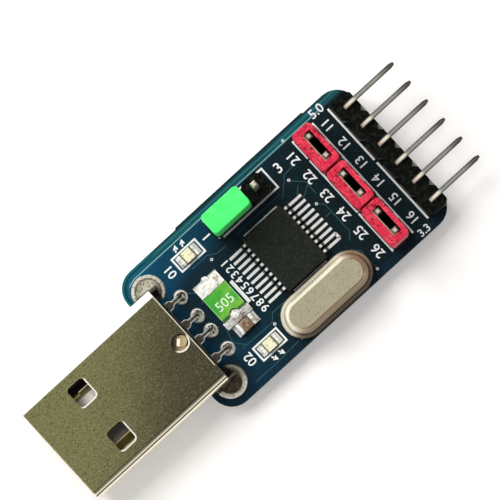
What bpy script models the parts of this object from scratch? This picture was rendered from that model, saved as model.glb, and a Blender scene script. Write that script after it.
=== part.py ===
"""USB to serial adapter module.

A small circuit board with a USB plug at one end and a row of six bent pins at the other.
Between them stand a row of six pins with three red jumper caps, a row of three pins with a
green cap, the interface chip, a crystal, a resettable fuse, a capacitor and two lamps.

+X runs along the module from the plug's mouth to the pin tips, +Y across it, +Z up from the
solder side to the component side. The origin is the centre of the bottom of the bounding box.
"""
import math

import bmesh
import bpy
from mathutils import Matrix, Vector

MM = 0.001

# Board
BOARD_LENGTH = 31.0 * MM
BOARD_WIDTH = 17.6 * MM
BOARD_THICKNESS = 1.6 * MM
BOARD_CORNER_RADIUS = 2.3 * MM
BREAK_STEP = 0.15 * MM
BREAK_STEP_START = 8.6 * MM
BREAK_STEP_END = 2.6 * MM

# Pins that the headers share
PIN_PITCH = 2.54 * MM
PIN_SIDE = 0.64 * MM
PIN_TIP_LENGTH = 0.45 * MM
PIN_TIP_SHARE = 0.55
PIN_TAIL = 1.4 * MM
PIN_HOLE_DIAMETER = 1.02 * MM
HEADER_WIDTH = 2.5 * MM
HEADER_HEIGHT = 2.54 * MM
HEADER_CELL_CHAMFER = 0.42 * MM
HEADER_FOOT = 0.25 * MM
HEADER_RAIL = 0.7 * MM
STRAIGHT_PIN_RISE = 8.5 * MM
SOLDER_RADIUS = 0.85 * MM
SOLDER_HEIGHT = 0.95 * MM
SOLDER_PIN_SHARE = 0.62

# Outgoing header with bent pins
EDGE_PIN_COUNT = 6
EDGE_PIN_SIDE = 0.5 * MM
EDGE_ROW_INSET = 1.34 * MM
EDGE_PIN_RISE = 0.62 * MM
EDGE_PIN_BEND = 0.75 * MM
EDGE_PIN_REACH = 6.44 * MM

# Jumper header and its caps
JUMPER_PIN_COUNT = 6
JUMPER_ROW_INSET = 6.27 * MM
ROW_SHIFT = -0.2 * MM
PINS_PER_CAP = 2
CAP_LENGTH = 4.85 * MM
CAP_WIDTH = 2.4 * MM
CAP_HEIGHT = 6.0 * MM
CAP_CORNER = 0.45 * MM
CAP_EDGE = 0.12 * MM
CAP_SLOT_LENGTH = 3.9 * MM
CAP_SLOT_WIDTH = 1.34 * MM
CAP_LIP = 0.4 * MM
CAP_OPENING_LENGTH = 3.4 * MM
CAP_OPENING_WIDTH = 0.96 * MM
RED_CAP_SHIFT = 0.2 * MM
CAP_LIFT = 0.05 * MM
CLIP_SHEET = 0.2 * MM
CLIP_GAP = 0.03 * MM
CLIP_HOOK = 0.064 * MM
CLIP_FOOT = 0.75 * MM
CLIP_HEADROOM = 0.25 * MM

# Mode header with its closed cap
MODE_PIN_COUNT = 3
MODE_ROW_X = -0.58 * MM
MODE_ROW_FROM_SIDE = 2.5 * MM
GREEN_CAP_HEIGHT = 6.6 * MM
GREEN_CAP_ROOF = 0.45 * MM
GREEN_CAP_CORNER = 0.4 * MM

# Plug shell
SHELL_WIDTH = 12.0 * MM
SHELL_HEIGHT = 4.5 * MM
SHELL_LENGTH = 18.0 * MM
SHELL_SHEET = 0.3 * MM
SHELL_EDGE_RADIUS = 0.8 * MM
SHELL_SEAM = 0.08 * MM
SHELL_OVER_BOARD = 2.78 * MM
SHELL_MOUTH_CHAMFER = 0.1 * MM
PLUG_Y = -0.12 * MM
WINDOW_FROM_MOUTH = 4.9 * MM
WINDOW_LENGTH = 2.05 * MM
WINDOW_WIDTH = 2.45 * MM
WINDOW_SPACING = 5.86 * MM
WINDOW_CORNER = 0.4 * MM
LATCH_HOLE_DIAMETER = 1.75 * MM
LATCH_HOLE_FROM_REAR = 1.45 * MM
REAR_FLAP_WIDTH = 8.0 * MM
REAR_FLAP_BOTTOM = 2.75 * MM
REAR_FLAP_ROOT = 0.5 * MM
REAR_FLAP_BEND = 0.45 * MM
WINDOW_CHAMFER = 0.07 * MM
TAB_WIDTH = 2.0 * MM
TAB_FROM_REAR = 0.4 * MM
TAB_HOLE_DIAMETER = 2.4 * MM
TAB_RING_DIAMETER = 3.5 * MM
TAB_RING_OUTSET = 0.14 * MM
TAB_RING_HEIGHT = 0.24 * MM
TAB_DISH_DEPTH = 0.35 * MM
TAB_CONE_RADIUS = 0.8 * MM
TAB_CONE_HEIGHT = 0.85 * MM
TAB_SPREAD = 0.2 * MM
TAB_ROOT = 2.4 * MM
TAB_LEAN_TOP = 1.7 * MM
TAB_LEAN_BOTTOM = 0.7 * MM

# Plug insulator and contacts
TONGUE_TOP = 2.2 * MM
TONGUE_SIDE_ROOM = 0.35 * MM
TONGUE_FROM_MOUTH = 0.9 * MM
BLOCK_LENGTH = 6.5 * MM
TONGUE_NOSE = 0.35 * MM
TONGUE_ROOT = 0.3 * MM
HEEL_ROOM = 0.1 * MM
LATCH_PEG_DIAMETER = 1.2 * MM
LATCH_PEG_SHIFT = 0.2 * MM
CONTACT_WIDTH = 1.0 * MM
CONTACT_SHEET = 0.25 * MM
CONTACT_PROUD = 0.1 * MM
OUTER_CONTACT_OFFSET = 3.5 * MM
INNER_CONTACT_OFFSET = 1.0 * MM
OUTER_CONTACT_FROM_MOUTH = 1.7 * MM
INNER_CONTACT_FROM_MOUTH = 2.7 * MM
CONTACT_NOSE_DIP = 0.35 * MM
CONTACT_NOSE_LENGTH = 0.35 * MM
CONTACT_NOSE_ROOM = 0.25 * MM
CONTACT_BEHIND_SHELL = 0.4 * MM
CONTACT_TAPER = 0.3 * MM
CONTACT_TAIL_WIDTH = 0.5 * MM
CONTACT_BEND = 0.55 * MM
CONTACT_ROW_BEHIND_SHELL = 1.65 * MM
CONTACT_HOLE_DIAMETER = 1.0 * MM
CONTACT_SOLDER_RADIUS = 0.82 * MM
CONTACT_DOME_HEIGHT = 0.3 * MM
CONTACT_CONE_HEIGHT = 0.75 * MM
CONTACT_TAIL = 1.25 * MM

# Interface chip
CHIP_SHIFT = (0.0 * MM, -0.1 * MM)
CHIP_BODY_LENGTH = 7.2 * MM
CHIP_BODY_WIDTH = 5.3 * MM
CHIP_BODY_HEIGHT = 1.75 * MM
CHIP_STANDOFF = 0.1 * MM
CHIP_DRAFT = 0.12 * MM
CHIP_CORNER = 0.08 * MM
CHIP_DOT_DIAMETER = 0.75 * MM
CHIP_DOT_DEPTH = 0.06 * MM
CHIP_DOT_INSET = 1.05 * MM
LEADS_PER_SIDE = 10
LEAD_PITCH = 0.65 * MM
LEAD_WIDTH = 0.3 * MM
LEAD_SHEET = 0.15 * MM
LEAD_SPAN = 7.8 * MM
LEAD_FOOT = 0.75 * MM
LEAD_SHOULDER = 0.45 * MM
LEAD_ROOT = 0.3 * MM

# Crystal
CRYSTAL_FROM_CHIP = 0.355 * MM
FLANGE_LENGTH = 11.05 * MM
FLANGE_WIDTH = 4.65 * MM
FLANGE_SHEET = 0.35 * MM
CAN_LENGTH = 10.2 * MM
CAN_WIDTH = 3.8 * MM
CAN_HEIGHT = 3.4 * MM
CAN_ROUNDING = 0.55 * MM
CRYSTAL_BASE_THICKNESS = 0.45 * MM
CRYSTAL_BASE_INSET = 0.15 * MM
CRYSTAL_LEAD_SPACING = 4.88 * MM
CRYSTAL_LEAD_DIAMETER = 0.43 * MM
CRYSTAL_HOLE_DIAMETER = 0.8 * MM
CRYSTAL_SOLDER_RADIUS = 0.72 * MM

# Resettable fuse
FUSE_FROM_END = 7.36 * MM
FUSE_Y = 0.7 * MM
FUSE_LENGTH = 4.4 * MM
FUSE_WIDTH = 3.0 * MM
FUSE_HEIGHT = 0.85 * MM
FUSE_NOTCH_RADIUS = 0.52 * MM
FUSE_LIP = 1.25 * MM
FUSE_PLATING = 0.08 * MM
FUSE_UPPER_FILLET = 0.3 * MM
FUSE_NOTCH_FILL_DROP = 0.12 * MM
FUSE_LOWER_FILLET = 0.88 * MM
FUSE_LOWER_FILLET_HEIGHT = 0.5 * MM
FUSE_PAD_WIDTH = 3.3 * MM

# Ceramic capacitor
CAPACITOR_FROM_FUSE = (0.14 * MM, -3.79 * MM)
CAPACITOR_LENGTH = 2.0 * MM
CAPACITOR_WIDTH = 1.15 * MM
CAPACITOR_HEIGHT = 0.8 * MM
CAPACITOR_BAND = 0.4 * MM
CAPACITOR_PLATING = 0.03 * MM
CAPACITOR_FILLET = 0.38 * MM

# Indicator lamps
LAMP_FROM_END = 7.85 * MM
UPPER_LAMP_FROM_SIDE = 2.8 * MM
LOWER_LAMP_FROM_SIDE = 2.62 * MM
LAMP_LENGTH = 2.0 * MM
LAMP_WIDTH = 1.2 * MM
LAMP_BASE_HEIGHT = 0.3 * MM
LAMP_LENS_LENGTH = 1.2 * MM
LAMP_LENS_HEIGHT = 0.5 * MM
LAMP_LENS_DRAFT = 0.1 * MM
LAMP_TERMINAL = 0.32 * MM
LAMP_FILLET = 0.3 * MM

# Cutters run past the faces they open, and joined pieces are a little thinner than what they join
CUT_PAST = 0.5 * MM
JOIN_INSET = 0.02 * MM

# Clearances between pieces that seat on or pass through each other
SEAT_GAP = 0.03 * MM
SIDE_GAP = 0.03 * MM
HOLE_GAP = 0.04 * MM

# Places that follow from the sizes above, in a frame with the board's centre at x = y = 0
PIN_TAIL_END = -BOARD_THICKNESS - PIN_TAIL
EDGE_ROW_X = BOARD_LENGTH / 2 - EDGE_ROW_INSET
EDGE_TIP_X = EDGE_ROW_X + EDGE_PIN_REACH
JUMPER_ROW_X = BOARD_LENGTH / 2 - JUMPER_ROW_INSET
SHELL_REAR_X = -BOARD_LENGTH / 2 + SHELL_OVER_BOARD
MOUTH_X = SHELL_REAR_X - SHELL_LENGTH
SHELL_TOP = SEAT_GAP + SHELL_HEIGHT
CONTACT_ROW_X = SHELL_REAR_X + CONTACT_ROW_BEHIND_SHELL
TAB_X = SHELL_REAR_X - TAB_FROM_REAR
TAB_WALL_Y = SHELL_WIDTH / 2 - SHELL_SHEET / 2
TONGUE_WIDTH = SHELL_WIDTH - 2 * (SHELL_SHEET + TONGUE_SIDE_ROOM)
HEADER_SEAT = SEAT_GAP
HEADER_TOP = HEADER_SEAT + HEADER_HEIGHT
EDGE_PIN_AXIS_Z = HEADER_TOP + EDGE_PIN_RISE
CRYSTAL_BASE_TOP = SEAT_GAP + CRYSTAL_BASE_THICKNESS
MODE_ROW_Y = BOARD_WIDTH / 2 - MODE_ROW_FROM_SIDE
MODE_CAP_X = MODE_ROW_X - PIN_PITCH / 2
CHIP_X, CHIP_Y = CHIP_SHIFT
CRYSTAL_X = CHIP_X
CRYSTAL_Y = CHIP_Y - CHIP_BODY_LENGTH / 2 - CRYSTAL_FROM_CHIP - FLANGE_WIDTH / 2
FUSE_X = -BOARD_LENGTH / 2 + FUSE_FROM_END
CAPACITOR_X = FUSE_X + CAPACITOR_FROM_FUSE[0]
CAPACITOR_Y = FUSE_Y + CAPACITOR_FROM_FUSE[1]
LAMP_X = -BOARD_LENGTH / 2 + LAMP_FROM_END
UPPER_LAMP_Y = BOARD_WIDTH / 2 - UPPER_LAMP_FROM_SIDE
LOWER_LAMP_Y = -BOARD_WIDTH / 2 + LOWER_LAMP_FROM_SIDE

# The board's frame moved so that the bounding box stands centred on the origin
SHIFT = Vector((-(MOUTH_X + EDGE_TIP_X) / 2, -BREAK_STEP / 2, -PIN_TAIL_END))

ARC_STEPS = 6


def clear_scene():
    for obj in list(bpy.data.objects):
        bpy.data.objects.remove(obj, do_unlink=True)


def new_collection(name):
    collection = bpy.data.collections.new(name)
    bpy.context.scene.collection.children.link(collection)
    return collection


def new_material(name, color, roughness, metallic=0.0):
    material = bpy.data.materials.new(name)
    material.use_nodes = True
    shader = material.node_tree.nodes["Principled BSDF"]
    shader.inputs["Base Color"].default_value = (*color, 1.0)
    shader.inputs["Roughness"].default_value = roughness
    shader.inputs["Metallic"].default_value = metallic
    material.diffuse_color = (*color, 1.0)
    return material


clear_scene()
PARTS = new_collection("usb_to_serial_adapter_module")
CUTTERS = new_collection("cutters")
ROOT = bpy.data.objects.new("module_origin", None)
PARTS.objects.link(ROOT)
ROOT.location = SHIFT

BOARD_BLUE = new_material("board_blue", (0.012, 0.035, 0.075), 0.35)
PLUG_STEEL = new_material("plug_steel", (0.42, 0.4, 0.3), 0.35, 1.0)
CREAM_PLASTIC = new_material("cream_plastic", (0.8, 0.78, 0.68), 0.5)
GILT = new_material("gilt_contact", (0.85, 0.65, 0.25), 0.3, 1.0)
TIN = new_material("tinned_pin", (0.55, 0.53, 0.5), 0.3, 1.0)
SOLDER = new_material("solder", (0.7, 0.7, 0.68), 0.3, 1.0)
BLACK_PLASTIC = new_material("black_plastic", (0.012, 0.012, 0.012), 0.45)
RED_PLASTIC = new_material("red_plastic", (0.72, 0.03, 0.09), 0.4)
GREEN_PLASTIC = new_material("green_plastic", (0.06, 0.8, 0.16), 0.4)
CHIP_BLACK = new_material("chip_black", (0.02, 0.022, 0.02), 0.55)
CAN_STEEL = new_material("can_steel", (0.62, 0.57, 0.45), 0.28, 1.0)
FUSE_GREEN = new_material("fuse_green", (0.07, 0.36, 0.05), 0.45)
CERAMIC_TAN = new_material("ceramic_tan", (0.42, 0.28, 0.17), 0.5)
LAMP_LENS = new_material("lamp_lens", (0.85, 0.8, 0.5), 0.25)


# Shapes


def finish(name, bm, material, collection=None):
    """Turn a bmesh in the board's frame into a named object under the module's origin."""
    bmesh.ops.remove_doubles(bm, verts=bm.verts, dist=0.0002 * MM)
    bmesh.ops.recalc_face_normals(bm, faces=bm.faces)
    if bm.calc_volume(signed=True) < 0:
        bmesh.ops.reverse_faces(bm, faces=bm.faces)
    mesh = bpy.data.meshes.new(name)
    bm.to_mesh(mesh)
    bm.free()
    mesh.materials.append(material)
    obj = bpy.data.objects.new(name, mesh)
    (collection or PARTS).objects.link(obj)
    obj.parent = ROOT
    mesh.shade_smooth()
    mesh.set_sharp_from_angle(angle=math.radians(35))
    return obj


def cutter(name, bm):
    obj = finish(name, bm, BLACK_PLASTIC, CUTTERS)
    obj.hide_render = True
    obj.display_type = "WIRE"
    return obj


def combine(obj, other, operation):
    modifier = obj.modifiers.new(operation.lower(), "BOOLEAN")
    modifier.operation = operation
    modifier.solver = "EXACT"
    modifier.object = other


def add_box(bm, low, high):
    """Add a box between two corners and return its vertices."""
    low, high = Vector(low), Vector(high)
    size = high - low
    placed = Matrix.Translation((low + high) / 2) @ Matrix.Diagonal((*size, 1.0))
    return bmesh.ops.create_cube(bm, size=1.0, matrix=placed)["verts"]


def add_cylinder(bm, centre, radius, low, high, segments=24, top_radius=None):
    """Add an upright cylinder or cone between two heights."""
    middle = Matrix.Translation((centre[0], centre[1], (low + high) / 2))
    return bmesh.ops.create_cone(
        bm, cap_ends=True, segments=segments, radius1=radius,
        radius2=radius if top_radius is None else top_radius,
        depth=high - low, matrix=middle)["verts"]


def arc(centre, radius, start, end, steps=ARC_STEPS):
    """Points of an arc from one angle to another, both included."""
    points = []
    for step in range(steps + 1):
        angle = start + (end - start) * step / steps
        points.append((centre[0] + radius * math.cos(angle), centre[1] + radius * math.sin(angle)))
    return points


def rounded_rectangle(length, width, radius, centre=(0.0, 0.0), steps=ARC_STEPS):
    """Closed outline of a rectangle with rounded corners, anticlockwise."""
    points = []
    for quarter, (side_x, side_y) in enumerate(((1, 1), (-1, 1), (-1, -1), (1, -1))):
        corner = (centre[0] + side_x * (length / 2 - radius), centre[1] + side_y * (width / 2 - radius))
        start = quarter * math.pi / 2
        points += arc(corner, radius, start, start + math.pi / 2, steps)
    return points


def stadium(length, width, centre=(0.0, 0.0), steps=12):
    """Closed outline of two half circles joined by straight sides, along X."""
    radius = width / 2
    run = length / 2 - radius
    right = arc((centre[0] + run, centre[1]), radius, -math.pi / 2, math.pi / 2, steps)
    left = arc((centre[0] - run, centre[1]), radius, math.pi / 2, 3 * math.pi / 2, steps)
    return right + left


def ribbon_outline(path, thickness):
    """Closed outline of a sheet that follows a flat path, with mitred bends."""
    half = thickness / 2
    left, right = [], []
    for index, point in enumerate(path):
        here = Vector(point)
        before = here - Vector(path[index - 1]) if index > 0 else None
        after = Vector(path[index + 1]) - here if index < len(path) - 1 else None
        before = (before or after).normalized()
        after = (after or before).normalized()
        normal_in = Vector((-before.y, before.x))
        normal_out = Vector((-after.y, after.x))
        mitre = (normal_in + normal_out).normalized()
        reach = half / max(mitre.dot(normal_in), 0.2)
        left.append(here + mitre * reach)
        right.append(here - mitre * reach)
    return [tuple(point) for point in left + right[::-1]]


def add_prism(bm, outline, low, high, plane="XY"):
    """Extrude a flat outline between two places along the axis normal to its plane."""
    place = {
        "XY": lambda u, v, w: (u, v, w),
        "XZ": lambda u, v, w: (u, w, v),
        "YZ": lambda u, v, w: (w, u, v),
    }[plane]
    base = [bm.verts.new(place(u, v, low)) for u, v in outline]
    face = bm.faces.new(base)
    walls = bmesh.ops.extrude_face_region(bm, geom=[face])["geom"]
    moved = [item for item in walls if isinstance(item, bmesh.types.BMVert)]
    bmesh.ops.translate(bm, verts=moved, vec=Vector(place(0.0, 0.0, high - low)))
    return base + moved


def bevel_edges_at(bm, height, radius, segments):
    """Round the edges that lie at one height."""
    edges = [edge for edge in bm.edges if all(abs(vert.co.z - height) < 1e-7 for vert in edge.verts)]
    bmesh.ops.bevel(bm, geom=edges, offset=radius, segments=segments, affect="EDGES", profile=0.5)


def add_loft(bm, rings):
    """Join rings of equally many points into one capped body."""
    loops = []
    for ring in rings:
        verts = [bm.verts.new(point) for point in ring]
        loops.append([bm.edges.new((verts[i], verts[(i + 1) % len(verts)])) for i in range(len(verts))])
    for lower, upper in zip(loops, loops[1:]):
        bmesh.ops.bridge_loops(bm, edges=lower + upper)
    for loop in (loops[0], loops[-1]):
        bmesh.ops.contextual_create(bm, geom=loop)


def add_square_bar(bm, path, side, tip_length=0.0, tip_share=1.0):
    """Sweep a square section along a path in the XZ plane at one Y, with pointed ends."""
    stations = [(Vector(point), 1.0) for point in path]
    if tip_length:
        first = (stations[1][0] - stations[0][0]).normalized()
        last = (stations[-1][0] - stations[-2][0]).normalized()
        start, end = stations[0][0], stations[-1][0]
        stations[0] = (start, tip_share)
        stations[-1] = (end, tip_share)
        stations.insert(1, (start + first * tip_length, 1.0))
        stations.insert(len(stations) - 1, (end - last * tip_length, 1.0))
    rings = []
    for index, (point, share) in enumerate(stations):
        before = stations[max(index - 1, 0)][0]
        after = stations[min(index + 1, len(stations) - 1)][0]
        along = (after - before).normalized()
        across = Vector((0.0, 1.0, 0.0))
        up = along.cross(across).normalized()
        half = side / 2 * share
        rings.append([point + across * half * a + up * half * b
                      for a, b in ((1, 1), (-1, 1), (-1, -1), (1, -1))])
    add_loft(bm, rings)


def add_lathe(bm, centre, profile, segments=20):
    """Turn a profile of radius and height, from its lowest to its highest point, round Z."""
    ends = [(0.0, profile[0][1])], [(0.0, profile[-1][1])]
    points = ends[0] + profile + ends[1]
    verts = [bm.verts.new((centre[0] + radius, centre[1], height)) for radius, height in points]
    edges = [bm.edges.new(pair) for pair in zip(verts, verts[1:])]
    axis_point = Vector((centre[0], centre[1], 0.0))
    bmesh.ops.spin(bm, geom=verts + edges, cent=axis_point, axis=(0.0, 0.0, 1.0), angle=2 * math.pi,
                   steps=segments, use_merge=True)


def solder_cone_profile(radius, height, inner):
    """Concave fillet under the board, from the pin's tail up to the pad."""
    top = -BOARD_THICKNESS - SEAT_GAP
    steps = 4
    profile = []
    for step in range(steps + 1):
        share = step / steps
        profile.append((inner + (radius - inner) * share ** 2.2, top - height * (1 - share)))
    return profile


def header_pin_places(count, centre_x, centre_y, along):
    """Pin axes of a single row, first pin at the +Y or -X end."""
    places = []
    for index in range(count):
        offset = (index - (count - 1) / 2) * PIN_PITCH
        if along == "Y":
            places.append((centre_x, centre_y - offset))
        else:
            places.append((centre_x + offset, centre_y))
    return places


EDGE_PLACES = header_pin_places(EDGE_PIN_COUNT, EDGE_ROW_X, ROW_SHIFT, "Y")
JUMPER_PLACES = header_pin_places(JUMPER_PIN_COUNT, JUMPER_ROW_X, ROW_SHIFT, "Y")
MODE_PLACES = header_pin_places(MODE_PIN_COUNT, MODE_ROW_X, MODE_ROW_Y, "X")
CONTACT_OFFSETS = (OUTER_CONTACT_OFFSET, INNER_CONTACT_OFFSET, -INNER_CONTACT_OFFSET, -OUTER_CONTACT_OFFSET)
CRYSTAL_LEAD_PLACES = [(CRYSTAL_X + side * CRYSTAL_LEAD_SPACING / 2, CRYSTAL_Y) for side in (-1, 1)]
TAB_PLACES = [(TAB_X, PLUG_Y + side * (SHELL_WIDTH / 2 + TAB_RING_OUTSET)) for side in (1, -1)]


# Circuit board


def board_outline():
    """Rounded rectangle whose +Y side stands out a little where the panel was broken off."""
    half_length, half_width, radius = BOARD_LENGTH / 2, BOARD_WIDTH / 2, BOARD_CORNER_RADIUS
    points = rounded_rectangle(BOARD_LENGTH, BOARD_WIDTH, radius)
    corner_points = ARC_STEPS + 1
    step_start = -half_length + BREAK_STEP_START
    step_end = half_length - radius - BREAK_STEP_END
    step = [(step_end, half_width), (step_end - BREAK_STEP, half_width + BREAK_STEP),
            (step_start + BREAK_STEP, half_width + BREAK_STEP), (step_start, half_width)]
    return points[:corner_points] + step + points[corner_points:]


def make_board():
    bm = bmesh.new()
    add_prism(bm, board_outline(), -BOARD_THICKNESS, 0.0)
    board = finish("circuit_board", bm, BOARD_BLUE)
    holes = bmesh.new()
    rows = [(EDGE_PLACES + JUMPER_PLACES + MODE_PLACES, PIN_HOLE_DIAMETER, 16),
            ([(CONTACT_ROW_X, PLUG_Y + offset) for offset in CONTACT_OFFSETS], CONTACT_HOLE_DIAMETER, 16),
            (CRYSTAL_LEAD_PLACES, CRYSTAL_HOLE_DIAMETER, 12),
            (TAB_PLACES, TAB_HOLE_DIAMETER, 24)]
    for places, diameter, segments in rows:
        for place in places:
            add_cylinder(holes, place, diameter / 2, -BOARD_THICKNESS - CUT_PAST, CUT_PAST, segments)
    combine(board, cutter("board_holes", holes), "DIFFERENCE")
    return board


# Plug


def shell_section():
    """The folded sheet's path round the plug, seen from the mouth, from seam edge to seam edge."""
    width = SHELL_WIDTH - SHELL_SHEET
    height = SHELL_HEIGHT - SHELL_SHEET
    radius = SHELL_EDGE_RADIUS - SHELL_SHEET / 2
    low, high = SEAT_GAP + SHELL_SHEET / 2, SEAT_GAP + SHELL_SHEET / 2 + height
    half = width / 2
    path = [(PLUG_Y + SHELL_SEAM / 2, low)]
    path += arc((PLUG_Y + half - radius, low + radius), radius, -math.pi / 2, 0.0, 4)
    path += arc((PLUG_Y + half - radius, high - radius), radius, 0.0, math.pi / 2, 4)
    path += arc((PLUG_Y - half + radius, high - radius), radius, math.pi / 2, math.pi, 4)
    path += arc((PLUG_Y - half + radius, low + radius), radius, math.pi, 3 * math.pi / 2, 4)
    path.append((PLUG_Y - SHELL_SEAM / 2, low))
    return path


def add_flared_hole(bm, outline_at, inside, surface, outside):
    """Add a cutter whose outline widens by a small chamfer at the sheet's outer surface."""
    toward = 1 if outside > surface else -1
    levels = [(inside, 0.0), (surface - toward * WINDOW_CHAMFER, 0.0),
              (outside, WINDOW_CHAMFER + abs(outside - surface))]
    add_loft(bm, [[(u, v, level) for u, v in outline_at(grow)] for level, grow in levels])


def window_outline(side):
    """Outline of one window, as a function of how much it grows."""
    centre = (MOUTH_X + WINDOW_FROM_MOUTH + WINDOW_LENGTH / 2, PLUG_Y + side * WINDOW_SPACING / 2)
    return lambda grow: rounded_rectangle(WINDOW_LENGTH + 2 * grow, WINDOW_WIDTH + 2 * grow,
                                          WINDOW_CORNER + grow, centre, 4)


def latch_outline(grow):
    centre = (SHELL_REAR_X - LATCH_HOLE_FROM_REAR, PLUG_Y)
    return arc(centre, LATCH_HOLE_DIAMETER / 2 + grow, 0.0, 2 * math.pi * 23 / 24, 23)


def tab_path(side):
    """Middle of a side tab's sheet seen from the mouth: down the wall, out a little, then down."""
    wall = PLUG_Y + side * TAB_WALL_Y
    spread = wall + side * TAB_SPREAD
    return [(wall, TAB_ROOT), (wall, TAB_LEAN_TOP), (spread, TAB_LEAN_BOTTOM), (spread, PIN_TAIL_END)]


def make_shell():
    """Sheet folded round to a seam, with the rear flap, the side tabs, windows and latch hole."""
    outline = ribbon_outline(shell_section(), SHELL_SHEET)
    bm = bmesh.new()
    add_prism(bm, outline, MOUTH_X, SHELL_REAR_X - SHELL_SHEET, "YZ")
    rim = [edge for edge in bm.edges if all(abs(vert.co.x - MOUTH_X) < 1e-7 for vert in edge.verts)]
    bmesh.ops.bevel(bm, geom=rim, offset=SHELL_MOUTH_CHAMFER, segments=1, affect="EDGES", profile=0.5)
    shell = finish("plug_shell", bm, PLUG_STEEL)
    sheet = SHELL_SHEET - JOIN_INSET

    # Rear flap bent down from the top sheet
    flap = bmesh.new()
    bend = REAR_FLAP_BEND - SHELL_SHEET / 2
    top = SHELL_TOP - SHELL_SHEET / 2
    rear = SHELL_REAR_X - SHELL_SHEET / 2
    path = [(SHELL_REAR_X - SHELL_SHEET - REAR_FLAP_ROOT, top)]
    path += arc((rear - bend, top - bend), bend, math.pi / 2, 0.0, 4)
    path.append((rear, SEAT_GAP + REAR_FLAP_BOTTOM))
    half = REAR_FLAP_WIDTH / 2
    add_prism(flap, ribbon_outline(path, sheet), PLUG_Y - half, PLUG_Y + half, "XZ")
    combine(shell, cutter("shell_rear_flap", flap), "UNION")

    # Side tabs that pass through the board
    tabs = bmesh.new()
    for side in (1, -1):
        add_prism(tabs, ribbon_outline(tab_path(side), sheet), TAB_X - TAB_WIDTH / 2,
                  TAB_X + TAB_WIDTH / 2, "YZ")
    combine(shell, cutter("shell_tabs", tabs), "UNION")

    # Windows above and below, and the latch hole
    holes = bmesh.new()
    top_inside = SHELL_TOP - SHELL_SHEET - CUT_PAST
    for side in (1, -1):
        add_flared_hole(holes, window_outline(side), top_inside, SHELL_TOP, SHELL_TOP + CUT_PAST)
        add_flared_hole(holes, window_outline(side), SEAT_GAP + SHELL_SHEET + CUT_PAST, SEAT_GAP,
                        SEAT_GAP - CUT_PAST)
    add_flared_hole(holes, latch_outline, top_inside, SHELL_TOP, SHELL_TOP + CUT_PAST)
    combine(shell, cutter("shell_windows", holes), "DIFFERENCE")
    return shell


def contact_front_x(offset):
    outer = abs(offset) > (INNER_CONTACT_OFFSET + OUTER_CONTACT_OFFSET) / 2
    return MOUTH_X + (OUTER_CONTACT_FROM_MOUTH if outer else INNER_CONTACT_FROM_MOUTH)


def make_insulator():
    """Rear block that fills the shell, with the tongue in front and a groove for each contact."""
    inner_low = SEAT_GAP + SHELL_SHEET + SIDE_GAP
    inner_high = SHELL_TOP - SHELL_SHEET - SIDE_GAP
    rear = SHELL_REAR_X - SHELL_SHEET - SIDE_GAP
    front = MOUTH_X + TONGUE_FROM_MOUTH
    block_front = rear - BLOCK_LENGTH
    block_rear = rear - SHELL_EDGE_RADIUS
    tongue_top = SEAT_GAP + TONGUE_TOP
    tongue_rear = block_front + TONGUE_ROOT
    block_half = SHELL_WIDTH / 2 - SHELL_SHEET - SIDE_GAP
    corner = SHELL_EDGE_RADIUS - SHELL_SHEET

    bm = bmesh.new()
    profile = [(front, inner_low + TONGUE_NOSE), (front, tongue_top - TONGUE_NOSE),
               (front + TONGUE_NOSE, tongue_top), (tongue_rear, tongue_top), (tongue_rear, inner_low),
               (front + TONGUE_NOSE, inner_low)]
    add_prism(bm, profile, PLUG_Y - TONGUE_WIDTH / 2, PLUG_Y + TONGUE_WIDTH / 2, "XZ")
    insulator = finish("plug_insulator", bm, CREAM_PLASTIC)

    block = bmesh.new()
    section = rounded_rectangle(2 * block_half, inner_high - inner_low, corner,
                                (PLUG_Y, (inner_low + inner_high) / 2), 3)
    add_prism(block, section, block_front, block_rear, "YZ")
    combine(insulator, cutter("insulator_block", block), "UNION")

    # Heel under the rear flap, and the peg that looks out of the latch hole
    heel = bmesh.new()
    add_box(heel, (block_rear - TONGUE_ROOT, PLUG_Y - block_half + corner, inner_low + JOIN_INSET),
            (rear, PLUG_Y + block_half - corner, SEAT_GAP + REAR_FLAP_BOTTOM - HEEL_ROOM))
    combine(insulator, cutter("insulator_heel", heel), "UNION")
    peg = bmesh.new()
    add_cylinder(peg, (SHELL_REAR_X - LATCH_HOLE_FROM_REAR + LATCH_PEG_SHIFT, PLUG_Y),
                 LATCH_PEG_DIAMETER / 2, inner_high - TONGUE_ROOT, SHELL_TOP - HEEL_ROOM, 20)
    combine(insulator, cutter("insulator_peg", peg), "UNION")

    # Each groove is deeper at the front, where the contact's nose dips into the tongue
    grooves = bmesh.new()
    low = tongue_top + CONTACT_PROUD - CONTACT_SHEET - HOLE_GAP
    high = tongue_top + CONTACT_PROUD + HOLE_GAP
    deep = low - CONTACT_NOSE_DIP
    half = CONTACT_WIDTH / 2 + HOLE_GAP
    past = rear + CUT_PAST
    for offset in CONTACT_OFFSETS:
        start = contact_front_x(offset) - CONTACT_NOSE_ROOM
        dip_end = start + CONTACT_NOSE_ROOM + 2 * CONTACT_NOSE_LENGTH
        y = PLUG_Y + offset
        profile = [(start, deep), (dip_end, deep), (dip_end, low), (past, low), (past, high), (start, high)]
        add_prism(grooves, profile, y - half, y + half, "XZ")
    combine(insulator, cutter("contact_grooves", grooves), "DIFFERENCE")
    return insulator


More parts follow.
